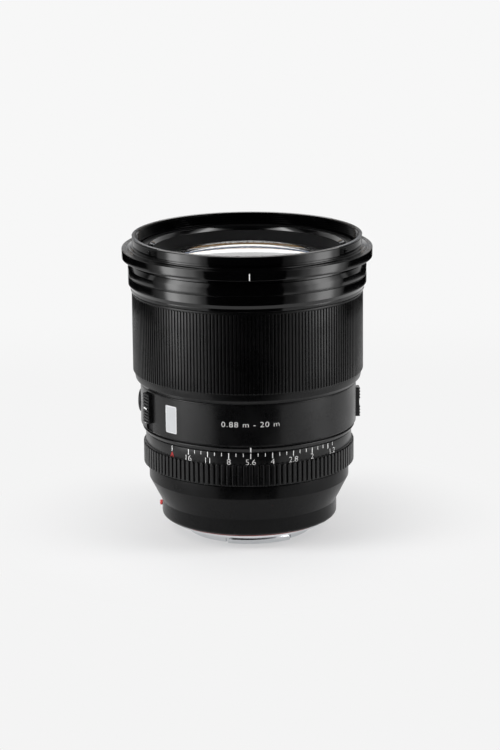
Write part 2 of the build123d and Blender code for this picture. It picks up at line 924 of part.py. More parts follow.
# Click switch knob, ridged in two lobes, at the lower end of its slot
with BuildPart() as click_switch_knob:
    knob_plane = around(click_switch_angle, knob_seat, switch_z - switch_travel / 2)
    with BuildSketch(knob_plane):
        RectangleRounded(knob_width, knob_length, knob_corner)
    extrude(amount=knob_top)
    with BuildSketch(knob_plane.offset(knob_top)):
        with GridLocations(0, knob_ridge_pitch, 1, knob_ridge_count):
            Rectangle(2 * knob_width, knob_groove_width)
    extrude(amount=-knob_groove_depth, mode=Mode.SUBTRACT)
    with BuildSketch(knob_plane.offset(knob_top)):
        Rectangle(2 * knob_width, 2 * click_waist)
    extrude(amount=-click_waist, mode=Mode.SUBTRACT)
    with BuildSketch(knob_plane):
        Rectangle(stem_width, stem_width)
    extrude(amount=-stem_depth)
finish(click_switch_knob, "click_switch_knob")

# Function button: flange behind the shell, cap through the hole, shallow dish on top
flange_top = main_inner - button_shell_gap
flange_low = flange_top - button_flange_height
with BuildPart() as function_button:
    with BuildSketch(around(button_angle, flange_low, button_z)):
        Circle(button_radius + button_flange_rise)
    extrude(amount=button_flange_height)
    with BuildSketch(around(button_angle, flange_top, button_z)):
        Circle(button_radius)
    extrude(amount=main_radius + button_rise - flange_top)
    chamfer(
        function_button.edges().filter_by(GeomType.CIRCLE).sort_by(Axis.X)[0], button_edge
    )
    with BuildSketch(around(button_angle, main_radius + button_rise, button_z)):
        Circle(button_radius - 2 * button_edge)
    extrude(amount=-button_dish, taper=button_dish_slope, mode=Mode.SUBTRACT)
finish(function_button, "function_button")

# Flexible board round the back of the neck, with the tact switch behind the button
flex_inner = neck_radius + slip_gap
with BuildPart() as switch_board:
    with BuildSketch(Plane.XY.offset(switch_z - flex_height / 2)):
        with BuildLine():
            sector(flex_inner, flex_inner + flex_thickness, flex_start, flex_span)
        make_face()
    extrude(amount=flex_height)
    with BuildSketch(around(button_angle, flex_inner + flex_thickness / 2, button_z)):
        Rectangle(tact_width, tact_width)
    extrude(amount=flange_low - button_travel - slip_gap - flex_inner - flex_thickness / 2)
finish(switch_board, "switch_board")

# Focus ring: chamfered smooth foot, fine straight ribs, smooth rim
with BuildPart() as focus_ring:
    focus_root = focus_rib_radius - focus_rib_depth
    with BuildSketch(Plane.XZ):
        with BuildLine():
            Polyline(
                (focus_inner, focus_z),
                (focus_foot_radius - focus_foot_chamfer + seat_gap, focus_z),
                (focus_foot_radius, focus_z + focus_foot_chamfer),
                (focus_root, rib_z),
                (focus_root, rib_end_z),
                (focus_rim_radius, rib_end_z),
                (focus_rim_radius, focus_end_z),
                (focus_inner, focus_end_z),
                close=True,
            )
        make_face()
    revolve(axis=Axis.Z)
    with BuildSketch(Plane.XY.offset(rib_z)):
        with BuildLine():
            Polyline(
                *toothed_ring(
                    focus_rib_count, focus_rib_radius, focus_rib_depth, focus_crest_share, focus_flank_share
                ),
                close=True,
            )
        make_face()
        Circle(focus_inner, mode=Mode.SUBTRACT)
    extrude(amount=focus_rib_height)
finish(focus_ring, "focus_ring")

# Front barrel: foot, chamfer, two bands with a seam between them, cone and neck
with BuildPart() as front_barrel:
    band_z = front_z + front_foot_height + front_chamfer_height
    shoulder_end_z = chassis_end_z + front_shoulder
    with BuildSketch(Plane.XZ):
        with BuildLine():
            Polyline(
                (front_bore, front_z),
                (front_foot_radius, front_z),
                (front_foot_radius, front_z + front_foot_height),
                (front_band_radius, band_z),
                (front_band_radius, seam_z),
                (front_band_radius - seam_depth, seam_z + seam_width / 2),
                (front_band_radius, seam_z + seam_width),
                (front_band_radius, front_cone_z),
                (front_neck_radius, front_neck_z),
                (front_foot_radius, front_neck_z),
                (front_foot_radius, front_end_z),
                (hood_spigot_radius + seat_gap, front_end_z),
                (hood_spigot_radius + seat_gap, shoulder_end_z),
                (front_cell_outer + front_shoulder_gap, shoulder_end_z),
                (front_cell_outer + front_shoulder_gap, chassis_end_z),
                (front_bore, chassis_end_z),
                close=True,
            )
        make_face()
    revolve(axis=Axis.Z)
finish(front_barrel, "front_barrel")

# Hood ring: spigot, wide flange, collar with a groove and three lugs, filter thread inside
thread_z = name_top_z + turn_gap / 2
groove_z = collar_z + hood_foot_height
lug_z = groove_z + hood_groove_height
thread_corners = []
for turn in range(thread_turns):
    turn_z = thread_z + turn * thread_pitch
    thread_corners += [
        (thread_minor, turn_z + thread_crest_flat),
        (thread_major, turn_z + (thread_crest_flat + thread_pitch) / 2),
        (thread_minor, turn_z + thread_pitch),
    ]
with BuildPart() as hood_ring:
    with BuildSketch(Plane.XZ):
        with BuildLine():
            Polyline(
                (hood_collar_radius, lens_top_z - hood_edge_round),
                (hood_collar_radius, groove_z),
                (hood_lug_radius, groove_z),
                (hood_lug_radius, collar_z),
                (hood_flange_radius - hood_flange_chamfer, collar_z),
                (hood_flange_radius, collar_z - hood_flange_chamfer),
                (hood_flange_radius, hood_z + hood_flange_chamfer),
                (hood_flange_radius - hood_flange_chamfer, hood_z),
                (hood_spigot_radius, hood_z),
                (hood_spigot_radius, hood_z - hood_spigot_height),
                (hood_spigot_bore, hood_z - hood_spigot_height),
                (hood_spigot_bore, name_seat_z),
                (name_ring_outer + seat_gap, name_seat_z),
                (name_ring_outer + seat_gap, thread_z),
                (thread_minor, thread_z),
                *thread_corners,
                (thread_minor, lens_top_z - thread_lead_in),
                (thread_minor + thread_lead_in, lens_top_z),
                (hood_collar_radius - hood_edge_round, lens_top_z),
            )
            RadiusArc(
                (hood_collar_radius - hood_edge_round, lens_top_z),
                (hood_collar_radius, lens_top_z - hood_edge_round),
                hood_edge_round,
            )
        make_face()
    revolve(axis=Axis.Z)
    lug_root = hood_collar_radius - hood_edge_round
    lug_round = hood_lug_radius - hood_collar_radius
    for lug in range(hood_lug_count):
        lug_turn = radians(lug * 360 / hood_lug_count - hood_lug_span / 2 - 90)
        lug_plane = Plane(
            origin=(0, 0, 0),
            x_dir=(cos(lug_turn), sin(lug_turn), 0),
            z_dir=(sin(lug_turn), -cos(lug_turn), 0),
        )
        with BuildSketch(lug_plane):
            with BuildLine():
                Polyline(
                    (hood_lug_radius - lug_round, lens_top_z),
                    (lug_root, lens_top_z),
                    (lug_root, lug_z),
                    (hood_lug_radius, lug_z),
                    (hood_lug_radius, lens_top_z - lug_round),
                )
                RadiusArc(
                    (hood_lug_radius - lug_round, lens_top_z),
                    (hood_lug_radius, lens_top_z - lug_round),
                    lug_round,
                )
            make_face()
        revolve(axis=Axis.Z, revolution_arc=hood_lug_span)
finish(hood_ring, "hood_ring")

# Name ring on its shoulder below the thread
with BuildPart() as name_ring:
    with BuildSketch(Plane.XY.offset(name_seat_z)):
        Circle(name_ring_outer)
        Circle(name_ring_inner, mode=Mode.SUBTRACT)
    extrude(amount=name_ring_thickness)
    chamfer(name_ring.edges().filter_by(GeomType.CIRCLE).group_by(Axis.Z)[-1], name_ring_edge)
finish(name_ring, "name_ring")

# Glass, each element with its rim radius, its seat's distance from the cell's end, its edge
# thickness and how far its rear and front faces bulge out
Glass = namedtuple("Glass", "rim seat edge back front")


def cemented(rim, seat, rear_edge, back, junction, front_edge, front):
    """Two elements face to face; the junction's bulge points into the rear one."""
    return [
        Glass(rim, seat, rear_edge, back, -junction),
        Glass(rim, seat - rear_edge - cement_gap, front_edge, junction, front),
    ]


front_glass = {
    "front_element": [Glass(front_cell_mouth - 1.8, 5.1, 2.2, -1.6, 3.8)],
    "second_element": [Glass(front_cell_mouth - 3.2, 10.4, 2.2, -1.2, 3.4)],
    "third_fourth_elements": cemented(front_cell_mouth - 4.6, 20.1, 6.0, -1.2, 3.0, 2.0, 2.0),
    "fifth_element": [Glass(front_cell_mouth - 6.2, 25.0, 2.0, -0.4, 2.2)],
    "sixth_seventh_elements": cemented(front_cell_mouth - 7.6, 34.6, 5.3, -1.8, 2.4, 1.5, 1.2),
    "eighth_element": [Glass(front_cell_mouth - 9.2, 40.0, 2.0, -1.2, 2.0)],
}
focus_glass = {
    "ninth_element": [Glass(focus_cell_outer - 1.6, 4.3, 2.0, -0.9, 0.8)],
    "tenth_eleventh_elements": cemented(focus_cell_outer - 2.4, 8.9, 2.0, -0.3, 0.5, 1.4, 1.4),
    "twelfth_thirteenth_elements": cemented(focus_cell_outer - 3.2, 13.1, 1.2, -0.5, -1.2, 2.1, 0.3),
}
rear_glass = {
    "fourteenth_fifteenth_elements": cemented(rear_cell_upper - 2.6, 14.6, 2.0, -0.8, -2.6, 5.0, -1.0),
    "sixteenth_element": [Glass(rear_cell_upper - 3.2, 19.6, 2.4, -0.6, 0.6)],
}


def rise(glass, radius):
    """How far a front face stands above its rim at a radius."""
    return glass.front - sag(glass.rim, glass.front, radius)


def make_glass(groups, cell_end_z):
    """One node for each single element or cemented pair."""
    for name, elements in groups.items():
        with BuildPart() as group:
            for glass in elements:
                low = cell_end_z - glass.seat
                with BuildSketch(Plane.XZ):
                    with BuildLine():
                        glass_section(glass.rim, low, low + glass.edge, glass.back, glass.front)
                    make_face()
                revolve(axis=Axis.Z)
        finish(group, name)


def stepped_bore(groups, cell_end_z, mouth_z):
    """Corners of a cell's bore from its mouth down, with a shoulder under each group."""
    corners = []
    step_z = mouth_z
    for elements in groups.values():
        seat_z = cell_end_z - elements[0].seat
        bore = elements[0].rim + glass_gap
        corners += [(bore, step_z), (bore, seat_z)]
        step_z = seat_z
    return corners


make_glass(front_glass, front_cell_end_z)

# Front baffle: screwed ring that holds the front glass, bevelled, with fine ribs inside
front_rim = front_glass["front_element"][0]
baffle_z = front_cell_end_z - front_rim.seat + front_rim.edge + rise(front_rim, baffle_inner) + slip_gap
bevel_z = name_top_z - bevel_height
rib_step_z = (bevel_z - baffle_z) / baffle_rib_count
rib_step_radius = (bevel_inner - baffle_inner) / baffle_rib_count
baffle_ribs = []
for rib in range(baffle_rib_count):
    crest = bevel_inner - rib * rib_step_radius
    baffle_ribs += [
        (crest, bevel_z - rib * rib_step_z),
        (crest - rib_step_radius, bevel_z - (rib + baffle_rib_face) * rib_step_z),
        (
            crest - rib_step_radius + baffle_rib_depth,
            bevel_z - (rib + baffle_rib_face + baffle_rib_back) * rib_step_z,
        ),
    ]
with BuildPart() as front_baffle:
    with BuildSketch(Plane.XZ):
        with BuildLine():
            Polyline(
                (baffle_outer - name_ring_edge, name_top_z),
                *baffle_ribs,
                (baffle_inner, baffle_z),
                (baffle_thread_radius, baffle_z),
                (baffle_thread_radius, front_cell_end_z),
                (baffle_outer, front_cell_end_z),
                (baffle_outer, name_top_z - name_ring_edge),
                close=True,
            )
        make_face()
    revolve(axis=Axis.Z)
finish(front_baffle, "front_baffle")

# Front lens cell: one tube with a shoulder for each group of glass
with BuildPart() as front_lens_cell:
    eighth = front_glass["eighth_element"][0]
    pilot_z = chassis_end_z - front_cell_pilot_drop
    pilot_end_z = pilot_z + front_cell_pilot_height
    spigot_z = shelf_z - front_cell_spigot
    with BuildSketch(Plane.XZ):
        with BuildLine():
            Polyline(
                (front_cell_mouth, front_cell_end_z),
                (baffle_thread_radius + seat_gap, front_cell_end_z),
                (baffle_thread_radius + seat_gap, baffle_z),
                *stepped_bore(front_glass, front_cell_end_z, baffle_z),
                (eighth.rim - front_cell_lip, front_cell_end_z - eighth.seat),
                (eighth.rim - front_cell_lip, spigot_z),
                (front_cell_spigot_radius, spigot_z),
                (front_cell_spigot_radius, shelf_z),
                (front_cell_outer, shelf_z),
                (front_cell_outer, shelf_z + front_cell_flange),
                (front_cell_waist, shelf_z + front_cell_flange),
                (front_cell_waist, pilot_z),
                (front_cell_outer, pilot_z),
                (front_cell_outer, pilot_end_z),
                (front_cell_mouth, pilot_end_z),
                close=True,
            )
        make_face()
    revolve(axis=Axis.Z)
finish(front_lens_cell, "front_lens_cell")

# Iris base plate: cup with the blades' pivot holes and a ledge that carries the drive ring
blade_angles = [blade * 360 / blade_count for blade in range(blade_count)]
with BuildPart() as iris_base_plate:
    ledge_z = iris_floor_z + iris_ledge_low
    with BuildSketch(Plane.XZ):
        with BuildLine():
            Polyline(
                (iris_opening, iris_z),
                (iris_rim_outer, iris_z),
                (iris_rim_outer, iris_rim_z),
                (iris_rim_inner, iris_rim_z),
                (iris_rim_inner, ledge_z + iris_ledge_height),
                (iris_ledge_radius, ledge_z + iris_ledge_height),
                (iris_ledge_radius, ledge_z),
                (iris_rim_inner, ledge_z),
                (iris_rim_inner, iris_floor_z),
                (iris_opening, iris_floor_z),
                close=True,
            )
        make_face()
    revolve(axis=Axis.Z)
    with BuildSketch(Plane.XY.offset(iris_floor_z)):
        with PolarLocations(pivot_circle, blade_count):
            Circle(pivot_pin + pin_gap)
    extrude(amount=-pivot_depth - slip_gap, mode=Mode.SUBTRACT)
finish(iris_base_plate, "iris_base_plate")

# Iris drive ring: one slanted slot for each blade's drive pin. A slot follows the pin's path
# from the open to the closed stop, seen from the turning ring.
blade_rest = blade_per_ring * ring_open_angle
blade_closed = blade_per_ring * (ring_open_angle + ring_closed_angle)
drive_ring_z = iris_floor_z + iris_ledge_low + iris_ledge_height + drive_ring_lift


def pin_seen_from_ring(blade_turn):
    """Drive pin of the first blade in the drive ring's own frame at rest."""
    swing = radians(blade_turn)
    arm_x = drive_circle * cos(radians(drive_angle)) - pivot_circle
    arm_y = drive_circle * sin(radians(drive_angle))
    pin_x = pivot_circle + arm_x * cos(swing) - arm_y * sin(swing)
    pin_y = arm_x * sin(swing) + arm_y * cos(swing)
    back = radians(drive_per_blade * (blade_rest - blade_turn))
    return (pin_x * cos(back) - pin_y * sin(back), pin_x * sin(back) + pin_y * cos(back))


slot_path = ThreePointArc(
    pin_seen_from_ring(0), pin_seen_from_ring(blade_closed / 2), pin_seen_from_ring(blade_closed)
)
with BuildPart() as iris_drive_ring:
    with BuildSketch(Plane.XY.offset(drive_ring_z)):
        Circle(drive_ring_outer)
        Circle(drive_ring_inner, mode=Mode.SUBTRACT)
        with PolarLocations(0, blade_count):
            SlotArc(slot_path, 2 * (drive_pin + slot_gap), mode=Mode.SUBTRACT)
    extrude(amount=drive_ring_height)
finish(iris_drive_ring, "iris_drive_ring")

# Iris blades, each at its own level, turned about its pivot to the rest position
for number, blade_angle in enumerate(blade_angles):
    blade_z = iris_floor_z + blade_lift + number * blade_pitch
    pivot_spot = (pivot_circle * cos(radians(blade_angle)), pivot_circle * sin(radians(blade_angle)))
    lie = radians(blade_angle + blade_rest)
    blade_plane = Plane(origin=(*pivot_spot, blade_z), x_dir=(cos(lie), sin(lie), 0))
    drive_spot = (
        drive_circle * cos(radians(drive_angle)) - pivot_circle,
        drive_circle * sin(radians(drive_angle)),
    )
    with BuildPart() as iris_blade:
        with BuildSketch(blade_plane):
            for outer, span in ((blade_outer, blade_span), (blade_hip, blade_hip_span)):
                with BuildLine():
                    centre = (-pivot_circle, 0)
                    outside = CenterArc(centre, outer, 0, span)
                    inside = CenterArc(centre, blade_inner, 0, span)
                    Line(outside @ 0, inside @ 0)
                    Line(outside @ 1, inside @ 1)
                make_face()
            Circle(blade_eye)
        extrude(amount=blade_thickness)
        with BuildSketch(blade_plane):
            Circle(pivot_pin)
        extrude(amount=iris_floor_z - pivot_depth - blade_z)
        with BuildSketch(blade_plane):
            with Locations(drive_spot):
                Circle(drive_pin)
        extrude(amount=drive_ring_z + drive_ring_height - blade_z)
    finish(iris_blade, f"iris_blade_{number + 1:02d}")

# Iris cover plate on the rim
with BuildPart() as iris_cover_plate:
    with BuildSketch(Plane.XY.offset(iris_rim_z)):
        Circle(iris_rim_outer)
        Circle(iris_opening, mode=Mode.SUBTRACT)
    extrude(amount=cover_thickness)
finish(iris_cover_plate, "iris_cover_plate")

# Iris motor, hung under the base plate by two ears
with BuildPart() as iris_motor:
    motor_spot = spot(iris_motor_angle, iris_motor_circle)
    with BuildSketch(Plane.XY.offset(iris_z)):
        with Locations(motor_spot):
            Circle(iris_motor_radius)
    extrude(amount=-iris_motor_height)
    with BuildSketch(Plane.XY.offset(iris_z)):
        with Locations(motor_spot):
            SlotCenterToCenter(2 * iris_motor_ear_length, iris_motor_ear_width, rotation=90)
    extrude(amount=-iris_motor_ear)
finish(iris_motor, "iris_motor")

# Focus cell: stepped tube with a long sleeve on one rod, a fork on the other and a nut arm
sleeve_spot = spot(180, rod_circle)
fork_spot = spot(0, rod_circle)
nut_spot = spot(90, screw_axis_circle)
focus_cell_end_z = focus_cell_z + focus_cell_length
nut_arm_z = focus_cell_z + nut_arm_low
nut_z = nut_arm_z + nut_arm_height
tube_wall_middle = focus_cell_outer - (focus_cell_outer - focus_glass["ninth_element"][0].rim) / 2
arm_length = rod_circle - tube_wall_middle
last_focus = focus_glass["twelfth_thirteenth_elements"][0]
with BuildPart() as focus_cell:
    with BuildSketch(Plane.XZ):
        with BuildLine():
            Polyline(
                (focus_cell_outer, focus_cell_end_z),
                *stepped_bore(focus_glass, focus_cell_end_z, focus_cell_end_z),
                (last_focus.rim - focus_cell_lip, focus_cell_end_z - last_focus.seat),
                (last_focus.rim - focus_cell_lip, focus_cell_z),
                (focus_cell_outer, focus_cell_z),
                close=True,
            )
        make_face()
    revolve(axis=Axis.Z)
    for place, low, height in (
        (sleeve_spot, sleeve_low, sleeve_height),
        (fork_spot, guide_low, guide_height),
    ):
        side = 1 if place[1] > 0 else -1
        with BuildSketch(Plane.XY.offset(focus_cell_z + low)):
            with Locations(place):
                Circle(rod_sleeve)
            with Locations((0, side * (tube_wall_middle + arm_length / 2))):
                Rectangle(arm_width, arm_length)
            with Locations(place):
                Circle(rod_radius + pin_gap, mode=Mode.SUBTRACT)
        extrude(amount=height)
    with BuildSketch(Plane.XY.offset(nut_arm_z)):
        arm_end = screw_axis_circle + nut_width / 2
        with Locations(((tube_wall_middle + arm_end) / 2, 0)):
            Rectangle(arm_end - tube_wall_middle, nut_width)
        with Locations(nut_spot):
            Circle(lead_screw_radius + turn_gap, mode=Mode.SUBTRACT)
    extrude(amount=nut_arm_height)
finish(focus_cell, "focus_cell")

make_glass(focus_glass, focus_cell_end_z)

# Threaded ring that holds the focus group's glass
ninth = focus_glass["ninth_element"][0]
focus_ring_opening = ninth.rim - focus_retainer_width
ninth_rise = rise(ninth, focus_ring_opening) + slip_gap
with BuildPart() as focus_retaining_ring:
    with BuildSketch(Plane.XY.offset(focus_cell_end_z - ninth.seat + ninth.edge + ninth_rise)):
        Circle(ninth.rim)
        Circle(focus_ring_opening, mode=Mode.SUBTRACT)
    extrude(amount=focus_ring_thickness)
finish(focus_retaining_ring, "focus_retaining_ring")

# Nut on the focus cell's arm
with BuildPart() as focus_nut:
    with BuildSketch(Plane.XY.offset(nut_z)):
        with Locations(nut_spot):
            Rectangle(nut_width, nut_width)
            Circle(lead_screw_radius + seat_gap, mode=Mode.SUBTRACT)
    extrude(amount=nut_height)
finish(focus_nut, "focus_nut")

# Rear lens cell: stepped tube through the bayonet, flange under the chassis barrel
flange_low_z = web_z - rear_cell_flange
rod_spots = (sleeve_spot, fork_spot)
sixteenth = rear_glass["sixteenth_element"][0]
with BuildPart() as rear_cell:
    with BuildSketch(Plane.XZ):
        with BuildLine():
            Polyline(
                (rear_cell_upper, rear_cell_end_z),
                *stepped_bore(rear_glass, rear_cell_end_z, rear_cell_end_z),
                (sixteenth.rim - rear_cell_lip, rear_cell_end_z - sixteenth.seat),
                (sixteenth.rim - rear_cell_lip, rear_cell_low),
                (rear_cell_outer, rear_cell_low),
                (rear_cell_outer, rear_cell_step_z),
                (rear_cell_upper, rear_cell_step_z),
                (rear_cell_upper, flange_low_z),
                (rear_cell_flange_radius, flange_low_z),
                (rear_cell_flange_radius, web_z),
                (rear_cell_upper, web_z),
                close=True,
            )
        make_face()
    revolve(axis=Axis.Z)
    with Locations(*[Location((*place, web_z)) for place in rod_spots]):
        Hole(rod_radius + slip_gap, depth=rear_cell_flange)
finish(rear_cell, "rear_cell")

make_glass(rear_glass, rear_cell_end_z)

rear_pair_top = rear_glass["fourteenth_fifteenth_elements"][1]
with BuildPart() as rear_retaining_ring:
    with BuildSketch(
        Plane.XY.offset(rear_cell_end_z - rear_pair_top.seat + rear_pair_top.edge + slip_gap)
    ):
        Circle(rear_pair_top.rim)
        Circle(rear_pair_top.rim - rear_retainer_width, mode=Mode.SUBTRACT)
    extrude(amount=rear_ring_thickness)
finish(rear_retaining_ring, "rear_retaining_ring")

# Two guide rods from the rear cell's flange to the iris base plate
with BuildPart() as guide_rods:
    with BuildSketch(Plane.XY.offset(flange_low_z)):
        with Locations(*rod_spots):
            Circle(rod_radius)
    extrude(amount=iris_z - flange_low_z)
finish(guide_rods, "guide_rods")

# Focus motor on the flange, with a frame that carries the lead screw's far end
motor_end_z = web_z + motor_height
frame_end_z = iris_z - frame_top_drop
with BuildPart() as focus_motor:
    with BuildSketch(Plane.XY.offset(web_z)):
        with Locations(nut_spot):
            Circle(motor_radius)
    extrude(amount=motor_height)
    with BuildSketch(Plane.XY.offset(motor_end_z - lead_pivot_length)):
        with Locations((screw_axis_circle + frame_inset + frame_thickness / 2, 0)):
            Rectangle(frame_thickness, frame_width)
    extrude(amount=frame_end_z - motor_end_z + lead_pivot_length)
    with BuildSketch(Plane.XY.offset(frame_end_z)):
        with Locations((screw_axis_circle + (frame_inset - frame_width / 2 + frame_thickness) / 2, 0)):
            Rectangle(frame_inset + frame_width / 2 + frame_thickness, frame_width)
    extrude(amount=-frame_thickness)
    with Locations(Location((*nut_spot, frame_end_z)), Location((*nut_spot, motor_end_z))):
        Hole(lead_pivot + pin_gap, depth=lead_pivot_length + lead_end_gap)
finish(focus_motor, "focus_motor")

# Lead screw with a pivot at each end
screw_low_z = motor_end_z + lead_end_gap
screw_top_z = frame_end_z - frame_thickness - lead_end_gap
thread_rings = int((screw_top_z - screw_low_z - lead) / lead)
screw_profile = []
for ring in range(thread_rings):
    ring_low = screw_low_z + lead / 2 + ring * lead
    screw_profile += [
        (lead_screw_radius, ring_low),
        (lead_screw_radius - lead_thread_depth, ring_low + lead / 2),
        (lead_screw_radius, ring_low + lead - lead_crest_flat),
    ]
with BuildPart() as lead_screw:
    with BuildSketch(Plane.XZ):
        with BuildLine():
            Polyline(
                (0, screw_low_z - lead_pivot_length),
                (lead_pivot, screw_low_z - lead_pivot_length),
                (lead_pivot, screw_low_z),
                (lead_screw_radius, screw_low_z),
                *screw_profile,
                (lead_screw_radius, screw_top_z),
                (lead_pivot, screw_top_z),
                (lead_pivot, frame_end_z),
                (0, frame_end_z),
                close=True,
            )
        make_face()
    revolve(axis=Axis.Z)
lead_screw.part = Pos(*nut_spot, 0) * lead_screw.part
finish(lead_screw, "lead_screw")
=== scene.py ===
from math import atan2, copysign, cos, hypot, pi, radians, sin, sqrt, tan

import bmesh
import bpy
from mathutils import Matrix, Vector


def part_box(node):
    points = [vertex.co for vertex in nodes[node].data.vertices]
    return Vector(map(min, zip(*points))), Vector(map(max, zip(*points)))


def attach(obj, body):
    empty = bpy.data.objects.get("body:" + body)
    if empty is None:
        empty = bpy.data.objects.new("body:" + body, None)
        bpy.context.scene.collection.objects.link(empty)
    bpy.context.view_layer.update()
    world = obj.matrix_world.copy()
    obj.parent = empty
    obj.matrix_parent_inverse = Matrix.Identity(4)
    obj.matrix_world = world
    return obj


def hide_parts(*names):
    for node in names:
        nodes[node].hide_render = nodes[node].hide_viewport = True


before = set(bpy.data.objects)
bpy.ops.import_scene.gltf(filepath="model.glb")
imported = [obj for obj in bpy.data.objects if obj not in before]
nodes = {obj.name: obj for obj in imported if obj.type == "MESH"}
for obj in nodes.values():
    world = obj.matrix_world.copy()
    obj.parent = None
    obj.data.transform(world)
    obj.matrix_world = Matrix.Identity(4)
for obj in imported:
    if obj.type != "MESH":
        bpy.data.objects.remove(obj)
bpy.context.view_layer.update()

# The prime lens stands on its bayonet, its optical axis is Z and its index line faces -Y.
# Sizes below are millimetres; angles are counted from the index line, positive towards +X.
MM = 0.001
TOUCH = 1e-8
INK_THICKNESS = 0.02


def heights(node):
    """Lowest and highest height of a CAD node."""
    low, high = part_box(node)
    return low.z / MM, high.z / MM


def reach(node):
    """Outer radius of a round CAD node."""
    low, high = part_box(node)
    return high.x / MM


# Mesh helpers


def new_piece(name, mesh, paint, body="barrel", stands_for=()):
    """Links a mesh as a named piece that rides on a body."""
    piece = bpy.data.objects.new(name, mesh)
    bpy.context.scene.collection.objects.link(piece)
    mesh.materials.clear()
    mesh.materials.append(paint)
    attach(piece, body)
    if stands_for:
        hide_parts(*stands_for)


def smooth(mesh, sharp_angle=32):
    """Shades a mesh smooth between its sharp edges."""
    mesh.shade_smooth()
    mesh.set_sharp_from_angle(angle=radians(sharp_angle))
    return mesh


def weld(edit):
    """Merges points that lie on each other and clears the empty faces that this leaves."""
    bmesh.ops.remove_doubles(edit, verts=edit.verts, dist=TOUCH)
    bmesh.ops.dissolve_degenerate(edit, edges=edit.edges, dist=TOUCH)


def mesh_from(edit, name):
    """Mesh made from an edit, which ends with it."""
    mesh = bpy.data.meshes.new(name)
    edit.to_mesh(mesh)
    edit.free()
    return mesh


def soften(corners, steps=4):
    """Closed outline from (radius, height, round) corners, each round drawn as an arc."""
    points = []
    for index, (x, y, size) in enumerate(corners):
        here = Vector((x, y))
        if size == 0:
            points.append((x, y))
            continue
        back = Vector(corners[index - 1][:2]) - here
        ahead = Vector(corners[(index + 1) % len(corners)][:2]) - here
        half = back.angle(ahead) / 2
        run = min(size / tan(half), 0.48 * back.length, 0.48 * ahead.length)
        centre = here + (back.normalized() + ahead.normalized()).normalized() * (run / cos(half))
        first = here + back.normalized() * run - centre
        last = here + ahead.normalized() * run - centre
        start = atan2(first.y, first.x)
        sweep = (atan2(last.y, last.x) - start + pi) % (2 * pi) - pi
        for step in range(steps + 1):
            turn = start + sweep * step / steps
            points.append((centre.x + first.length * cos(turn), centre.y + first.length * sin(turn)))
    return points


def rows(radius, low, high, count):
    """Points along a straight wall, both ends included."""
    return [(radius, low + (high - low) * step / count) for step in range(count + 1)]


def lathe(name, outline, segments=360, carve=None):
    """Turns a closed outline of (radius, height) points round the axis.

    carve(radius, height, angle) may give a point another radius."""
    count = len(outline)
    verts = []
    for column in range(segments):
        angle = 360 * column / segments
        turn = radians(angle)
        for radius, height in outline:
            if carve:
                radius = carve(radius, height, angle)
            verts.append((radius * sin(turn) * MM, -radius * cos(turn) * MM, height * MM))
    faces = []
    for column in range(segments):
        here = column * count
        there = (column + 1) % segments * count
        for row in range(count):
            above = (row + 1) % count
            faces.append((here + row, there + row, there + above, here + above))
    mesh = bpy.data.meshes.new(name)
    mesh.from_pydata(verts, [], faces)
    if min(radius for radius, height in outline) == 0:
        edit = bmesh.new()
        edit.from_mesh(mesh)
        weld(edit)
        edit.to_mesh(mesh)
        edit.free()
    return smooth(mesh)


def drum(corners, segments=96):
    """Small turned piece, from (radius, height, round) corners above the surface that it stands on."""
    return lathe("drum", soften(corners), segments)


def placed(mesh, angle, radius, height):
    """Stands a mesh on the lens: its x runs round it, its y runs up and its z points out of it."""
    turn = radians(angle)
    side = Vector((cos(turn), sin(turn), 0))
    out = Vector((sin(turn), -cos(turn), 0))
    matrix = Matrix((side, (0, 0, 1), out)).transposed().to_4x4()
    matrix.translation = (out * radius + Vector((0, 0, height))) * MM
    mesh.transform(matrix)
    return mesh


def wrapped(mesh, angle, radius, height):
    """Bends a flat mesh round the lens: its x runs round it, its y runs up and its z points out of it."""
    for vert in mesh.vertices:
        x, y, z = vert.co / MM
        turn = radians(angle) + x / radius
        rim = radius + z
        vert.co = Vector((rim * sin(turn), -rim * cos(turn), height + y)) * MM
    return mesh


def joined(name, meshes):
    """One mesh from several."""
    edit = bmesh.new()
    for mesh in meshes:
        edit.from_mesh(mesh)
        bpy.data.meshes.remove(mesh)
    return mesh_from(edit, name)


def tile(width, height, thickness=INK_THICKNESS):
    """Flat painted mark with its sides, centred, its back at z = 0."""
    corners = [(x * width / 2, y * height / 2) for x, y in ((-1, -1), (1, -1), (1, 1), (-1, 1))]
    verts = [Vector((x, y, z)) * MM for z in (0, thickness) for x, y in corners]
    faces = [(4, 5, 6, 7)]
    for here in range(4):
        there = (here + 1) % 4
        faces.append((here, there, there + 4, here + 4))
    mesh = bpy.data.meshes.new("tile")
    mesh.from_pydata(verts, [], faces)
    return mesh


def words(text, height, wide=1.0, thin=0.0, apart=1.0):
    """Flat text of a given height, centred on its middle; thin takes some of its strokes away."""
    curve = bpy.data.curves.new("words", "FONT")
    curve.body = text
    curve.size = 1
    curve.offset = -thin
    curve.space_character = apart
    curve.resolution_u = 6
    holder = bpy.data.objects.new("words", curve)
    bpy.context.scene.collection.objects.link(holder)
    bpy.context.view_layer.update()
    mesh = bpy.data.meshes.new_from_object(holder)
    bpy.data.objects.remove(holder)
    bpy.data.curves.remove(curve)
    xs = [vert.co.x for vert in mesh.vertices]
    ys = [vert.co.y for vert in mesh.vertices]
    scale = height / (max(ys) - min(ys)) * MM
    middle = Vector(((min(xs) + max(xs)) / 2, (min(ys) + max(ys)) / 2, 0))
    for vert in mesh.vertices:
        vert.co = (vert.co - middle) * scale
        vert.co.x *= wide
        vert.co.z = INK_THICKNESS * MM
    return mesh


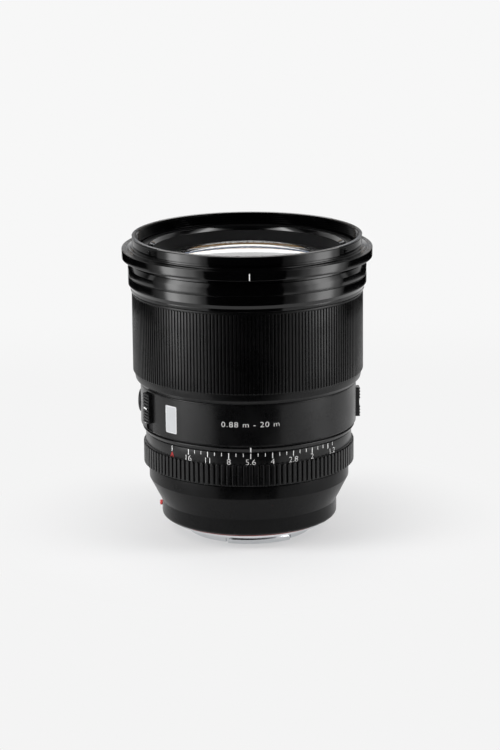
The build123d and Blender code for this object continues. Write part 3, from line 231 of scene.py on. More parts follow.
def cushion(width, length, across, along, corner, edge, depth, relief=None):
    """Block with rounded corners and edges; its top is at z = 0 and its foot at -depth.

    across and along count its faces, and relief(x, y) lowers its top."""
    edit = bmesh.new()
    wall = 3
    us = [0.0] * wall + [step / across for step in range(across + 1)] + [1.0] * wall
    vs = [0.0] * wall + [step / along for step in range(along + 1)] + [1.0] * wall
    grid = []
    for row, v in enumerate(vs):
        line = []
        for column, u in enumerate(us):
            x = (u - 0.5) * width
            y = (v - 0.5) * length
            over_x = abs(x) - (width / 2 - corner)
            over_y = abs(y) - (length / 2 - corner)
            if over_x > 0 and over_y > 0:
                pull = max(over_x, over_y) / hypot(over_x, over_y)
                x = copysign(width / 2 - corner + over_x * pull, x)
                y = copysign(length / 2 - corner + over_y * pull, y)
                inset = corner - max(over_x, over_y)
            else:
                inset = min(width / 2 - abs(x), length / 2 - abs(y))
            drop = 0.0
            if inset < edge:
                drop = edge - sqrt(max(0.0, edge**2 - (edge - inset) ** 2))
            if relief and inset > 0:
                drop = max(drop, relief(x, y))
            down = max(0, wall - column, column + wall + 1 - len(us), wall - row, row + wall + 1 - len(vs))
            if down:
                drop = max(drop, edge) + (depth - max(drop, edge)) * down / wall
            line.append(edit.verts.new(Vector((x, y, -drop)) * MM))
        grid.append(line)
    for near, far in zip(grid, grid[1:]):
        for column in range(len(us) - 1):
            edit.faces.new((near[column], near[column + 1], far[column + 1], far[column]))
    weld(edit)
    return smooth(mesh_from(edit, "cushion"), 40)


def cut(mesh, cutters):
    """Takes cutters out of a mesh."""
    target = bpy.data.objects.new("target", mesh)
    bpy.context.scene.collection.objects.link(target)
    tools = []
    for cutter in cutters:
        tool = bpy.data.objects.new("tool", cutter)
        bpy.context.scene.collection.objects.link(tool)
        tools.append(tool)
        step = target.modifiers.new("cut", "BOOLEAN")
        step.operation = "DIFFERENCE"
        step.solver = "EXACT"
        step.object = tool
    bpy.context.view_layer.update()
    depsgraph = bpy.context.evaluated_depsgraph_get()
    done = bpy.data.meshes.new_from_object(target.evaluated_get(depsgraph))
    done.name = mesh.name
    for thing in (target, *tools):
        bpy.data.objects.remove(thing)
    return smooth(done)


# Material helpers

NOISE_LOW, NOISE_HIGH = 0.3, 0.7
MIX_A, MIX_B, MIX_RESULT = 6, 7, 2


def new_material(name):
    """New material with its node tree and its main shader."""
    made = bpy.data.materials.new(name)
    made.use_nodes = True
    tree = made.node_tree
    return made, tree, tree.nodes["Principled BSDF"]


def add_node(tree, kind, **settings):
    """Adds a node with its settings."""
    node = tree.nodes.new(kind)
    for key, value in settings.items():
        setattr(node, key, value)
    return node


def feed(tree, socket, value):
    """Links another node's output to a socket, or sets a constant."""
    if isinstance(value, bpy.types.NodeSocket):
        tree.links.new(value, socket)
    else:
        socket.default_value = value


def calc(tree, operation, *values):
    """Math node from outputs and numbers."""
    node = add_node(tree, "ShaderNodeMath", operation=operation)
    for socket, value in zip(node.inputs, values):
        feed(tree, socket, value)
    return node.outputs[0]


def measured(tree, place):
    """Length of a vector."""
    node = add_node(tree, "ShaderNodeVectorMath", operation="LENGTH")
    tree.links.new(place, node.inputs[0])
    return node.outputs["Value"]


def split(tree, place):
    """X, Y and Z of a vector."""
    node = add_node(tree, "ShaderNodeSeparateXYZ")
    tree.links.new(place, node.inputs[0])
    return node.outputs


def object_place(tree):
    """Place on the object."""
    return add_node(tree, "ShaderNodeTexCoord").outputs["Object"]


def noise(tree, where, size, detail=2.0):
    """Noise with grains of about the given size in millimetres."""
    node = add_node(tree, "ShaderNodeTexNoise")
    node.inputs["Scale"].default_value = 1 / (size * MM)
    node.inputs["Detail"].default_value = detail
    tree.links.new(where, node.inputs["Vector"])
    return node.outputs["Fac"]


def mapped(tree, value, start, end, low, high, curve="LINEAR"):
    """Maps a value between start and end to one between low and high."""
    node = add_node(tree, "ShaderNodeMapRange", interpolation_type=curve)
    tree.links.new(value, node.inputs["Value"])
    for key, number in (("From Min", start), ("From Max", end), ("To Min", low), ("To Max", high)):
        node.inputs[key].default_value = number
    return node.outputs["Result"]


def spread(tree, value, low, high):
    """Maps noise to a range."""
    return mapped(tree, value, NOISE_LOW, NOISE_HIGH, low, high)


def share_of(tree, value, start, end, low=0.0, high=1.0):
    """Eased step of a value between two places."""
    return mapped(tree, value, start, end, low, high, "SMOOTHSTEP")


def bumped(tree, height, depth, normal=None):
    """Bump of the given depth in millimetres."""
    node = add_node(tree, "ShaderNodeBump")
    node.inputs["Strength"].default_value = 1.0
    node.inputs["Distance"].default_value = depth * MM
    tree.links.new(height, node.inputs["Height"])
    if normal:
        tree.links.new(normal, node.inputs["Normal"])
    return node.outputs["Normal"]


def tinted(tree, share, dark, light):
    """Colour between two, led by a share."""
    node = add_node(tree, "ShaderNodeMix", data_type="RGBA")
    tree.links.new(share, node.inputs["Factor"])
    node.inputs[MIX_A].default_value = (*dark, 1)
    node.inputs[MIX_B].default_value = (*light, 1)
    return node.outputs[MIX_RESULT]


def from_axis(tree, where):
    """Distance from the optical axis."""
    flat = add_node(tree, "ShaderNodeVectorMath", operation="MULTIPLY")
    flat.inputs[1].default_value = (1, 1, 0)
    tree.links.new(where, flat.inputs[0])
    return measured(tree, flat.outputs[0])


def ring_place(tree, where):
    """Place across a turned surface: distance from the axis and height, the same all the way round."""
    join = add_node(tree, "ShaderNodeCombineXYZ")
    tree.links.new(from_axis(tree, where), join.inputs["X"])
    tree.links.new(split(tree, where)["Z"], join.inputs["Z"])
    return join.outputs[0]


def material(name, color, rough, metal=0.0, grain=0.12, grain_depth=0.002, lines=None, lines_depth=0.0015,
             vary=0.25, rough_vary=0.06, cloud=9.0, **constants):
    """Surface with fine grain, turned lines where asked for, and soft changes of colour and gloss."""
    made, tree, body = new_material(name)
    where = object_place(tree)
    patches = noise(tree, where, cloud, 4.0)
    dark = [channel * (1 - vary) for channel in color]
    light = [min(1.0, channel * (1 + vary)) for channel in color]
    tree.links.new(tinted(tree, spread(tree, patches, 0, 1), dark, light), body.inputs["Base Color"])
    fine = noise(tree, where, grain, 3.0)
    shine = calc(tree, "ADD", spread(tree, patches, rough - rough_vary, rough + rough_vary),
                 spread(tree, fine, -rough_vary / 2, rough_vary / 2))
    tree.links.new(shine, body.inputs["Roughness"])
    normal = bumped(tree, fine, grain_depth)
    if lines:
        turned = noise(tree, ring_place(tree, where), lines)
        normal = bumped(tree, turned, lines_depth, normal)
    tree.links.new(normal, body.inputs["Normal"])
    body.inputs["Metallic"].default_value = metal
    for key, value in constants.items():
        body.inputs[key.replace("_", " ")].default_value = value
    return made


def coated_glass(name, index, tint):
    """Clear glass with a thin coating that colours its reflections."""
    made, tree, body = new_material(name)
    where = object_place(tree)
    tree.links.new(spread(tree, noise(tree, where, 12.0), 0.0, 0.004), body.inputs["Roughness"])
    cloud = spread(tree, noise(tree, where, 14.0), 0, 1)
    tree.links.new(tinted(tree, cloud, (0.97, 0.98, 0.97), (1, 1, 1)), body.inputs["Base Color"])
    for key, value in (("IOR", index), ("Transmission Weight", 1.0), ("Specular Tint", (*tint, 1))):
        body.inputs[key].default_value = value
    return made


# Materials

satin = material("satin_black_anodised", (0.0026, 0.0026, 0.0029), 0.29, grain=0.09, grain_depth=0.0012,
                 Specular_IOR_Level=0.33)
# Darker, less shiny copy of the satin for the rear barrel: painted shade, whose dimmer reflections stand in
# for the floor lying in the lens's shadow
shaded_rear_black = material("satin_black_rear_painted_shade", (0.0022, 0.0022, 0.0024), 0.30, grain=0.09, grain_depth=0.0012,
                      Specular_IOR_Level=0.14)
ribbed = material("satin_black_ribs", (0.0022, 0.0022, 0.0024), 0.30, grain=0.09, grain_depth=0.0012,
                  Specular_IOR_Level=0.26)
gloss = material("gloss_black_anodised", (0.0008, 0.0008, 0.0009), 0.12, grain=0.15, grain_depth=0.0004,
                 lines=0.10, lines_depth=0.0003, rough_vary=0.03, Specular_IOR_Level=0.40)
hood_black = material("hood_black_anodised", (0.0008, 0.0008, 0.0009), 0.12, grain=0.15, grain_depth=0.0004,
                      lines=0.10, lines_depth=0.0003, rough_vary=0.03)
bevel_black = material("polished_black_bevel", (0.0006, 0.0006, 0.0007), 0.10, grain=0.15,
                       grain_depth=0.0003, lines=0.08, lines_depth=0.0003, rough_vary=0.02,
                       Specular_IOR_Level=0.6)
inner_black = material("matte_black_inside", (0.004, 0.004, 0.0045), 0.62, lines=0.16, lines_depth=0.006,
                       Specular_IOR_Level=0.15)
baffle_black = material("ribbed_black_baffle", (0.0055, 0.0055, 0.006), 0.60, Specular_IOR_Level=0.25)
name_black = material("name_ring_black", (0.0028, 0.0028, 0.0030), 0.45, Specular_IOR_Level=0.12)
chrome = material("chromed_mount", (0.70, 0.71, 0.73), 0.15, metal=1.0, grain=0.2, grain_depth=0.0006,
                  lines=0.09, lines_depth=0.0009, vary=0.05, rough_vary=0.05)
steel = material("steel", (0.52, 0.53, 0.55), 0.28, metal=1.0, lines=0.1, lines_depth=0.001, vary=0.1)
red_rubber = material("red_gasket", (0.22, 0.012, 0.008), 0.55, grain=0.2, vary=0.2)
red_bead = material("red_bead", (0.52, 0.012, 0.010), 0.22, grain=0.3, grain_depth=0.001, vary=0.1,
                    Coat_Weight=0.6, Coat_Roughness=0.08)
gold = material("gold_contacts", (0.95, 0.66, 0.26), 0.22, metal=1.0, grain=0.15, vary=0.1)
black_plastic = material("black_plastic", (0.006, 0.006, 0.0065), 0.48, grain=0.18, grain_depth=0.006,
                         Specular_IOR_Level=0.2)
switch_plastic = material("switch_plastic", (0.0045, 0.0045, 0.005), 0.34, grain=0.16, grain_depth=0.003,
                          Specular_IOR_Level=0.25)
silver = material("silver_plate", (0.42, 0.43, 0.44), 0.45, grain=0.12, grain_depth=0.003, vary=0.05)
silver_edge = material("silver_plate_edge", (0.55, 0.55, 0.56), 0.35, grain=0.12, vary=0.03)
white_paint = material("white_paint", (0.80, 0.80, 0.79), 0.50, grain=0.1, grain_depth=0.003, vary=0.05)
red_paint = material("red_paint", (0.60, 0.012, 0.012), 0.50, grain=0.1, grain_depth=0.003, vary=0.08)
board_green = material("green_board", (0.012, 0.075, 0.030), 0.40, grain=0.4, grain_depth=0.01, vary=0.4,
                       cloud=1.2)
board_amber = material("flexible_board", (0.20, 0.080, 0.018), 0.34, grain=0.4, grain_depth=0.004, vary=0.3,
                       cloud=2.0)
blade_black = material("blade_steel", (0.018, 0.018, 0.019), 0.34, metal=0.6, lines=0.12, lines_depth=0.001)
brass = material("brass_nut", (0.78, 0.52, 0.20), 0.30, metal=1.0, lines=0.1, vary=0.12)
motor_shell = material("motor_shell", (0.36, 0.37, 0.39), 0.30, metal=1.0, lines=0.15, lines_depth=0.002,
                       vary=0.1)
front_coating = coated_glass("front_coated_glass", 1.80, (1.0, 1.0, 1.0))
amber_coating = coated_glass("amber_coated_glass", 1.72, (1.0, 0.86, 0.60))
blue_coating = coated_glass("blue_coated_glass", 1.62, (0.70, 0.80, 1.0))
green_coating = coated_glass("green_coated_glass", 1.75, (0.75, 1.0, 0.78))

# Hood ring

hood_low, lens_top = heights("hood_ring")
hood_radius = reach("hood_ring") - 0.03
HOOD_BORE, HOOD_SKIRT = 36.9, 38.8
FLANGE_LOW, FLANGE_HIGH = 97.4, 100.8
GROOVES = ((41.75, 0.16), (42.35, 0.10), (42.75, 0.10))
GROOVE_MOUTH, GROOVE_FLOOR = 0.12, 0.07
COLLAR, COLLAR_LOW, COLLAR_HIGH = 39.75, 101.3, 102.2
COLLAR_RIDGE, COLLAR_PITCH = 0.10, 0.52
LUG, LUG_MIDDLES, LUG_SPAN, LUG_RAMP = 40.6, (0, 180), 100, 0.35
THREAD_MINOR, THREAD_MAJOR, THREAD_PITCH, THREAD_RAMP = 38.1, 38.5, 0.75, 0.2
THREAD_LOW, THREAD_HIGH = 101.15, 104.6
NAME_SEAT, NAME_TOP = 100.2, 101.0
LINE_LIFT, HOOD_LINE_Z = 0.004, 98.85


def lug_share(angle):
    """1 on a bayonet lug and 0 between two, with a short ramp at its ends."""
    nearest = min(abs((angle - middle + 180) % 360 - 180) for middle in LUG_MIDDLES)
    return min(1.0, max(0.0, (LUG_SPAN / 2 - nearest) / LUG_RAMP + 0.5))


def hood_shape(radius, height, angle):
    """Ridged collar between the bayonet lugs, and the filter thread inside."""
    if radius > COLLAR + 0.25 and height > COLLAR_HIGH - 0.05:
        share = lug_share(angle)
        ridge = COLLAR_RIDGE * cos(2 * pi * height / COLLAR_PITCH)
        return COLLAR + (radius - COLLAR) * share + ridge * (1 - share)
    if THREAD_MINOR - 0.05 < radius < THREAD_MAJOR + 0.05 and THREAD_LOW < height < THREAD_HIGH:
        phase = (height - THREAD_LOW) / THREAD_PITCH + angle / 360
        ramp = min(1.0, (height - THREAD_LOW) / THREAD_RAMP, (THREAD_HIGH - height) / THREAD_RAMP)
        return THREAD_MINOR + (THREAD_MAJOR - THREAD_MINOR) * ramp * (1 - abs(2 * (phase % 1) - 1))
    return radius


def polish_sides(paint):
    """Keeps the shine on the outer sides, while the upper faces and the thread stay dull."""
    tree = paint.node_tree
    place = add_node(tree, "ShaderNodeTexCoord")
    tilt = calc(tree, "ABSOLUTE", split(tree, place.outputs["Normal"])["Z"])
    side = share_of(tree, tilt, 0.45, 0.80, 0.40, 0.05)
    outside = share_of(tree, from_axis(tree, place.outputs["Object"]), 38.65 * MM, 38.95 * MM, 0.12, 1.0)
    tree.links.new(calc(tree, "MULTIPLY", side, outside),
                   tree.nodes["Principled BSDF"].inputs["Specular IOR Level"])


groove_profile = ((GROOVE_MOUTH, 0), (GROOVE_FLOOR, 1), (-GROOVE_FLOOR, 1), (-GROOVE_MOUTH, 0))
groove_corners = [(radius + offset, FLANGE_HIGH - depth * low, 0.03)
                  for radius, depth in reversed(GROOVES) for offset, low in groove_profile]
hood_outline = (
    soften([
        (HOOD_BORE, hood_low, 0.1),
        (HOOD_SKIRT, hood_low, 0.1),
        (HOOD_SKIRT, FLANGE_LOW, 0),
        (hood_radius, FLANGE_LOW, 0.35),
        (hood_radius, FLANGE_HIGH, 0.35),
        *groove_corners,
        (LUG + 0.25, FLANGE_HIGH, 0.06),
        (LUG, FLANGE_HIGH + 0.25, 0.06),
        (LUG, COLLAR_LOW, 0.05),
        (COLLAR, COLLAR_LOW, 0.05),
        (COLLAR, COLLAR_HIGH, 0.04),
        (LUG, COLLAR_HIGH, 0.08),
        *[(LUG, COLLAR_HIGH + 0.1 + 0.13 * step, 0) for step in range(16)],
        (LUG, lens_top, 0.5),
        (THREAD_MINOR + 0.35, lens_top, 0.12),
        (THREAD_MINOR, lens_top - 0.4, 0.08),
    ])
    + rows(THREAD_MINOR + 0.001, THREAD_HIGH - 0.001, THREAD_LOW + 0.001, 60)
    + [(THREAD_MINOR, THREAD_LOW - 0.1), (THREAD_MINOR - 0.6, THREAD_LOW - 0.12), (37.5, NAME_SEAT),
       (HOOD_BORE, NAME_SEAT)]
)
polish_sides(hood_black)
new_piece("hood_ring_body", lathe("hood_ring_body", hood_outline, 540, hood_shape), paint=hood_black,
          stands_for=("hood_ring",))
hood_line = wrapped(tile(0.36, 2.3, 0.012), 0, hood_radius + LINE_LIFT, HOOD_LINE_Z)
new_piece("hood_index_line", hood_line, paint=white_paint)

STUD_ANGLES, STUD_Z = (-57.5, 56.0), 103.2
studs = [placed(cushion(0.9, 1.1, 6, 6, 0.3, 0.15, 0.5), angle, COLLAR + 0.45, STUD_Z)
         for angle in STUD_ANGLES]
new_piece("hood_stop_studs", smooth(joined("hood_stop_studs", studs)), paint=gloss)

# Name ring, bare, with a fine groove

name_outline = soften([
    (34.5, NAME_SEAT, 0),
    (37.4, NAME_SEAT, 0),
    (37.4, NAME_TOP, 0.12),
    (36.9, NAME_TOP, 0.03),
    (36.85, NAME_TOP - 0.07, 0.03),
    (36.7, NAME_TOP - 0.07, 0.03),
    (36.65, NAME_TOP, 0.03),
    (34.5, NAME_TOP, 0.12),
])
new_piece("name_ring_plain", lathe("name_ring_plain", name_outline), paint=name_black,
          stands_for=("name_ring",))

# Front baffle: a polished bevel, and below it a cone that is ribbed against stray light

BEVEL_RADIUS, BEVEL_Z, CONE_RADIUS, CONE_LOW, CONE_BACK = 33.1, 99.8, 31.6, 96.5, 33.45
RIBS, RIB_CUT = 12, 0.16

bevel_outline = soften([
    (33.5, 98.65, 0),
    (34.4, 98.65, 0),
    (34.4, NAME_TOP, 0.12),
    (34.1, NAME_TOP, 0.10),
    (BEVEL_RADIUS, BEVEL_Z, 0.05),
    (BEVEL_RADIUS + 0.2, BEVEL_Z - 0.3, 0),
])
new_piece("front_baffle_bevel", lathe("front_baffle_bevel", bevel_outline, 480), paint=bevel_black,
          stands_for=("front_baffle",))

cone_outline = [(CONE_BACK, CONE_LOW), (CONE_BACK, BEVEL_Z - 0.5), (BEVEL_RADIUS + 0.2, BEVEL_Z - 0.32),
                (BEVEL_RADIUS, BEVEL_Z)]
for rib in range(RIBS):
    radius = BEVEL_RADIUS + (CONE_RADIUS - BEVEL_RADIUS) * rib / RIBS
    height = BEVEL_Z + (CONE_LOW - BEVEL_Z) * rib / RIBS
    cone_outline += [(radius + RIB_CUT, height - 0.03), (radius + RIB_CUT, height - 0.13),
                     (radius, height - 0.2)]
cone_outline.append((CONE_RADIUS, CONE_LOW))
new_piece("front_baffle_ribs", lathe("front_baffle_ribs", cone_outline, 480), paint=baffle_black)

# Front barrel with its seam

FRONT_LOW = heights("front_barrel")[0]
FRONT_NECK, FRONT_BAND, SEAM = 40.6, 41.4, 41.12

front_outline = soften([
    (37.9, FRONT_LOW, 0),
    (FRONT_NECK, FRONT_LOW, 0.12),
    (FRONT_NECK, 87.3, 0.12),
    (FRONT_BAND, 88.6, 0.25),
    (FRONT_BAND, 91.52, 0.10),
    (SEAM, 91.62, 0.03),
    (SEAM, 91.74, 0.03),
    (FRONT_BAND, 91.84, 0.10),
    (FRONT_BAND, 94.4, 0.25),
    (40.8, 96.0, 0.15),
    (FRONT_NECK, 96.05, 0.05),
    (FRONT_NECK, 97.38, 0),
    (38.95, 97.38, 0),
    (38.95, 92.0, 0),
    (37.9, 92.0, 0),
])
new_piece("front_barrel_body", lathe("front_barrel_body", front_outline, 480), paint=gloss,
          stands_for=("front_barrel",))

# Focus ring

FOCUS_BORE = 37.95
FOCUS_LOW, FOCUS_HIGH = heights("focus_ring")
RIB_COUNT, RIB_ROOT, RIB_DEPTH = 200, 39.75, 0.40
RIB_LOW, RIB_HIGH = 57.6, 85.1
RIB_CREST_SHARE, RIB_FLANK_SHARE = 0.46, 0.13


def rib_shape(radius, height, angle):
    """Straight ribs with eased flanks and round ends."""
    if radius < RIB_ROOT - 0.05 or not RIB_LOW - 0.01 < height < RIB_HIGH + 0.01:
        return radius
    ends = min(1.0, (height - RIB_LOW) / 0.35, (RIB_HIGH - height) / 0.25)
    ends = sqrt(max(0.0, 1 - (1 - ends) ** 2))
    place = abs((angle * RIB_COUNT / 360 + 0.5) % 1 - 0.5)
    slope = min(1.0, max(0.0, (RIB_CREST_SHARE / 2 + RIB_FLANK_SHARE - place) / RIB_FLANK_SHARE))
    return RIB_ROOT + RIB_DEPTH * ends * slope * slope * (3 - 2 * slope)


rib_rows = [RIB_LOW, 57.64, 57.70, 57.78, 57.88, 57.95, 64, 71, 78, 84.85, 84.93, 85.0, 85.06, RIB_HIGH]
focus_outline = (
    soften([
        (FOCUS_BORE, FOCUS_LOW, 0),
        (38.15, FOCUS_LOW, 0.08),
        (39.25, 55.1, 0.18),
        (39.73, RIB_LOW - 0.06, 0.02),
    ])
    + [(RIB_ROOT, height) for height in rib_rows]
    + soften([
        (40.05, RIB_HIGH + 0.04, 0.02),
        (40.05, FOCUS_HIGH, 0.15),
        (FOCUS_BORE, FOCUS_HIGH, 0),
    ])
)
new_piece("focus_ring_ribs", lathe("focus_ring_ribs", focus_outline, 1800, rib_shape), body="focus_ring",
          paint=ribbed, stands_for=("focus_ring",))

# Aperture ring

RING_BORE, SCALE_RADIUS = 33.65, 36.0
RING_LOW, RING_HIGH = heights("aperture_ring")
KNURL_LOW, KNURL_HIGH = 24.8, 32.0
TOOTH_COUNT, TOOTH_CREST, TOOTH_ROOT, TOOTH_HALF = 120, 36.85, 36.15, 0.61
TOOTH_PITCH = 2 * pi * TOOTH_CREST / TOOTH_COUNT
CHAMFER_DROP, CHAMFER_WIDTH, FLANK_WIDTH = 0.09, 0.14, 0.12


def knurl_shape(radius, height, angle):
    """Straight chamfered teeth with round tips below the scale."""
    if radius < TOOTH_ROOT - 0.1 or not KNURL_LOW - 0.01 < height < KNURL_HIGH + 0.01:
        return radius
    place = abs((angle * TOOTH_COUNT / 360 + 0.5) % 1 - 0.5) * TOOTH_PITCH
    half = TOOTH_HALF
    room = min(height - KNURL_LOW + 0.35, KNURL_HIGH - height)
    if room < TOOTH_HALF:
        half *= sqrt(max(0.0, 1 - (1 - room / TOOTH_HALF) ** 2))
    if half < 0.05 or place > half + FLANK_WIDTH:
        return TOOTH_ROOT
    if place > half:
        shoulder = TOOTH_CREST - CHAMFER_DROP
        return shoulder - (shoulder - TOOTH_ROOT) * (place - half) / FLANK_WIDTH
    return TOOTH_CREST - CHAMFER_DROP * min(1.0, max(0.0, (place - half) / CHAMFER_WIDTH + 1))


knurl_rows = [KNURL_LOW, 24.9, 25.0, 25.1, 27, 29.5, 31.3]
knurl_rows += [31.38 + 0.62 * sin(step / 12 * pi / 2) for step in range(13)]
ring_outline = (
    soften([
        (RING_BORE, RING_LOW, 0),
        (35.4, RING_LOW, 0.15),
        (36.13, KNURL_LOW - 0.05, 0.1),
    ])
    + [(TOOTH_ROOT, height) for height in knurl_rows]
    + soften([
        (SCALE_RADIUS, KNURL_HIGH + 0.05, 0.03),
        (SCALE_RADIUS, RING_HIGH, 0.15),
        (RING_BORE, RING_HIGH, 0),
    ])
)
ring_mesh = smooth(lathe("aperture_ring_knurl", ring_outline, 1920, knurl_shape), 40)
new_piece("aperture_ring_knurl", ring_mesh, body="aperture_ring", paint=satin,
          stands_for=("aperture_ring",))

STOPS = ((-36, "16"), (-24, "11"), (-12, "8"), (0, "5.6"), (12, "4"), (24, "2.8"), (36, "2"),
         (52, "1.2"))
INK_RADIUS = SCALE_RADIUS + 0.01


def scale_line(angle, long):
    """Line that hangs from the upper edge of the scale."""
    width, length = (0.30, 1.9) if long else (0.22, 1.2)
    return wrapped(tile(width, length), angle, INK_RADIUS, RING_HIGH - 0.15 - length / 2)


marks = [scale_line(angle, angle % 12 == 0) for angle in range(-32, 52, 4)]
marks += [scale_line(-48, True), scale_line(-36, True), scale_line(52, False)]
marks += [wrapped(words(text, 1.9, 1.08, 0.018), angle, INK_RADIUS, 33.0) for angle, text in STOPS]
new_piece("aperture_scale", joined("aperture_scale", marks), body="aperture_ring", paint=white_paint)
new_piece("aperture_auto_mark", wrapped(words("A", 1.8, 1.05, 0.018), -48, INK_RADIUS, 32.95),
          body="aperture_ring", paint=red_paint)

# Main barrel with the pockets of its switches and the hole of its button

MAIN_LOW, MAIN_HIGH = heights("main_barrel")
MAIN_RADIUS = reach("main_barrel")
MAIN_FOOT, MAIN_BORE, CHAMFER_TOP = 36.3, 33.45, 38.6
SWITCH_Z, POCKET_DEPTH = 45.75, 1.2
POCKET_WIDTH, POCKET_LENGTH, POCKET_CORNER, POCKET_MOUTH = 5.4, 13.7, 0.9, 0.5
MODE_ANGLE, CLICK_ANGLE, BUTTON_ANGLE, BADGE_ANGLE = -66.5, 93.0, -97.0, -45.8
BUTTON_Z, BUTTON_RADIUS = 45.1, 4.1
INK_LIFT = 0.005

main_outline = (
    soften([
        (MAIN_BORE, MAIN_LOW, 0),
        (MAIN_FOOT, MAIN_LOW, 0.25),
        (MAIN_RADIUS, CHAMFER_TOP, 0.3),
    ])
    + rows(MAIN_RADIUS, 39.2, 53.0, 24)
    + soften([
        (MAIN_RADIUS, MAIN_HIGH, 0.3),
        (36.0, MAIN_HIGH, 0),
        (36.0, 38.0, 0),
        (MAIN_BORE, 38.0, 0),
    ])
)


def pocket_cutter(angle):
    """Rounded pocket with a chamfered mouth."""
    edit = bmesh.new()
    loops = []
    for depth, grow in ((-POCKET_DEPTH, 0.0), (-0.22, 0.0), (0.35, POCKET_MOUTH)):
        half_x = POCKET_WIDTH / 2 + grow / 2
        half_y = POCKET_LENGTH / 2 + grow / 2
        loop = []
        for quarter in range(4):
            sign_x = 1 if quarter in (0, 3) else -1
            sign_y = 1 if quarter in (0, 1) else -1
            for step in range(7):
                turn = pi / 2 * (quarter + step / 6)
                x = sign_x * (half_x - POCKET_CORNER) + POCKET_CORNER * cos(turn)
                y = sign_y * (half_y - POCKET_CORNER) + POCKET_CORNER * sin(turn)
                loop.append(edit.verts.new(Vector((x, y, depth)) * MM))
        loops.append(loop)
    count = len(loops[0])
    for low, high in zip(loops, loops[1:]):
        for index in range(count):
            following = (index + 1) % count
            edit.faces.new((low[index], low[following], high[following], high[index]))
    edit.faces.new(list(reversed(loops[0])))
    edit.faces.new(loops[-1])
    return placed(mesh_from(edit, "pocket"), angle, MAIN_RADIUS, SWITCH_Z)


barrel_mesh = lathe("main_barrel_body", main_outline, 540)
button_hole = drum([(0, -6, 0), (BUTTON_RADIUS + 0.12, -6, 0), (BUTTON_RADIUS + 0.12, -0.35, 0.1),
                    (BUTTON_RADIUS + 0.8, 0.4, 0), (0, 0.4, 0)])
barrel_mesh = cut(barrel_mesh, [pocket_cutter(MODE_ANGLE), pocket_cutter(CLICK_ANGLE),
                                placed(button_hole, BUTTON_ANGLE, MAIN_RADIUS, BUTTON_Z)])
new_piece("main_barrel_body", barrel_mesh, paint=satin, stands_for=("main_barrel",))

# The index line lies on the chamfer at the barrel's foot
index_line = wrapped(tile(0.42, 1.9), 0, MAIN_RADIUS, 37.6)
for vert in index_line.vertices:
    climb = (vert.co.z / MM - MAIN_LOW) / (CHAMFER_TOP - MAIN_LOW)
    vert.co.y += (MAIN_RADIUS - MAIN_FOOT) * (1 - climb) * MM
new_piece("main_index_line", index_line, paint=white_paint)

focus_range = wrapped(words("0.88 m - 20 m", 1.8, 1.16, 0.014, 1.14), 0.0, MAIN_RADIUS + INK_LIFT, 46.6)
new_piece("focus_range_mark", focus_range, paint=white_paint)

# Badge plate, bare, with a lighter border
BADGE_Z, BADGE_THICKNESS = 45.8, 0.30
border = cushion(5.7, 10.0, 16, 28, 0.6, 0.08, BADGE_THICKNESS)
new_piece("badge_plate_border", wrapped(border, BADGE_ANGLE, MAIN_RADIUS + 0.03, BADGE_Z), paint=silver_edge)
plate = cushion(5.0, 9.3, 16, 28, 0.4, 0.05, BADGE_THICKNESS)
new_piece("badge_plate_bare", wrapped(plate, BADGE_ANGLE, MAIN_RADIUS + 0.045, BADGE_Z), paint=silver,
          stands_for=("badge_plate",))

# Slide switch knobs, ridged across
KNOB_WIDTH, KNOB_LENGTH, KNOB_RISE = 4.9, 10.4, 1.5
RIDGE_PITCH, RIDGED_HALF, GROOVE_DEPTH, WAIST_DEPTH = 1.1, 4.75, 0.45, 0.8
TRAVEL = 2.8


def ridges(x, y):
    """Depth of the grooves between a knob's ridges."""
    if abs(y) > RIDGED_HALF:
        return 0.0
    phase = abs((y / RIDGE_PITCH + 0.5) % 1 - 0.5) * RIDGE_PITCH
    slope = min(1.0, max(0.0, (0.34 - phase) / 0.16))
    return GROOVE_DEPTH * slope * slope * (3 - 2 * slope)


def two_lobes(x, y):
    """The click switch's ridges with a waist at their middle."""
    waist = max(0.0, 1 - abs(y) / RIDGE_PITCH)
    return max(ridges(x, y), WAIST_DEPTH * waist * waist * (3 - 2 * waist))


for name, angle, shift, relief, node in (
    ("mode_switch_ridges", MODE_ANGLE, TRAVEL / 2, ridges, "mode_switch_knob"),
    ("click_switch_ridges", CLICK_ANGLE, -TRAVEL / 2, two_lobes, "click_switch_knob"),
):
    knob = cushion(KNOB_WIDTH, KNOB_LENGTH, 14, 110, 0.7, 0.35, KNOB_RISE + 0.7, relief)
    new_piece(name, placed(knob, angle, MAIN_RADIUS + KNOB_RISE, SWITCH_Z + shift), body=node,
              paint=switch_plastic, stands_for=(node,))
knob_line = placed(tile(2.6, 0.42, 0.03), MODE_ANGLE, MAIN_RADIUS + KNOB_RISE - INK_LIFT,
                   SWITCH_Z + TRAVEL / 2)
new_piece("mode_switch_line", knob_line, body="mode_switch_knob", paint=white_paint)
mode_mark = wrapped(tile(1.1, 0.8), MODE_ANGLE - 6.3, MAIN_RADIUS + INK_LIFT, SWITCH_Z - 4.5)
new_piece("mode_switch_mark", mode_mark, paint=white_paint)

# Function button with a low dome
CAP_LOW, CAP_RIM, CAP_TOP = -1.6, 0.2, 1.2
dome = [(BUTTON_RADIUS * cos(step * pi / 16), CAP_RIM + sin(step * pi / 16), 0) for step in range(1, 8)]
button = drum([(0, CAP_LOW, 0), (BUTTON_RADIUS - 0.01, CAP_LOW, 0), (BUTTON_RADIUS - 0.01, CAP_RIM, 0.1),
               *dome, (0, CAP_TOP, 0)])
new_piece("function_button_cap", placed(button, BUTTON_ANGLE, MAIN_RADIUS, BUTTON_Z), body="function_button",
          paint=switch_plastic, stands_for=("function_button",))

# Rear barrel and its mounting bead

REAR_LOW, REAR_HIGH = heights("rear_barrel")
REAR_RADIUS, REAR_TOP = 30.7, 35.0

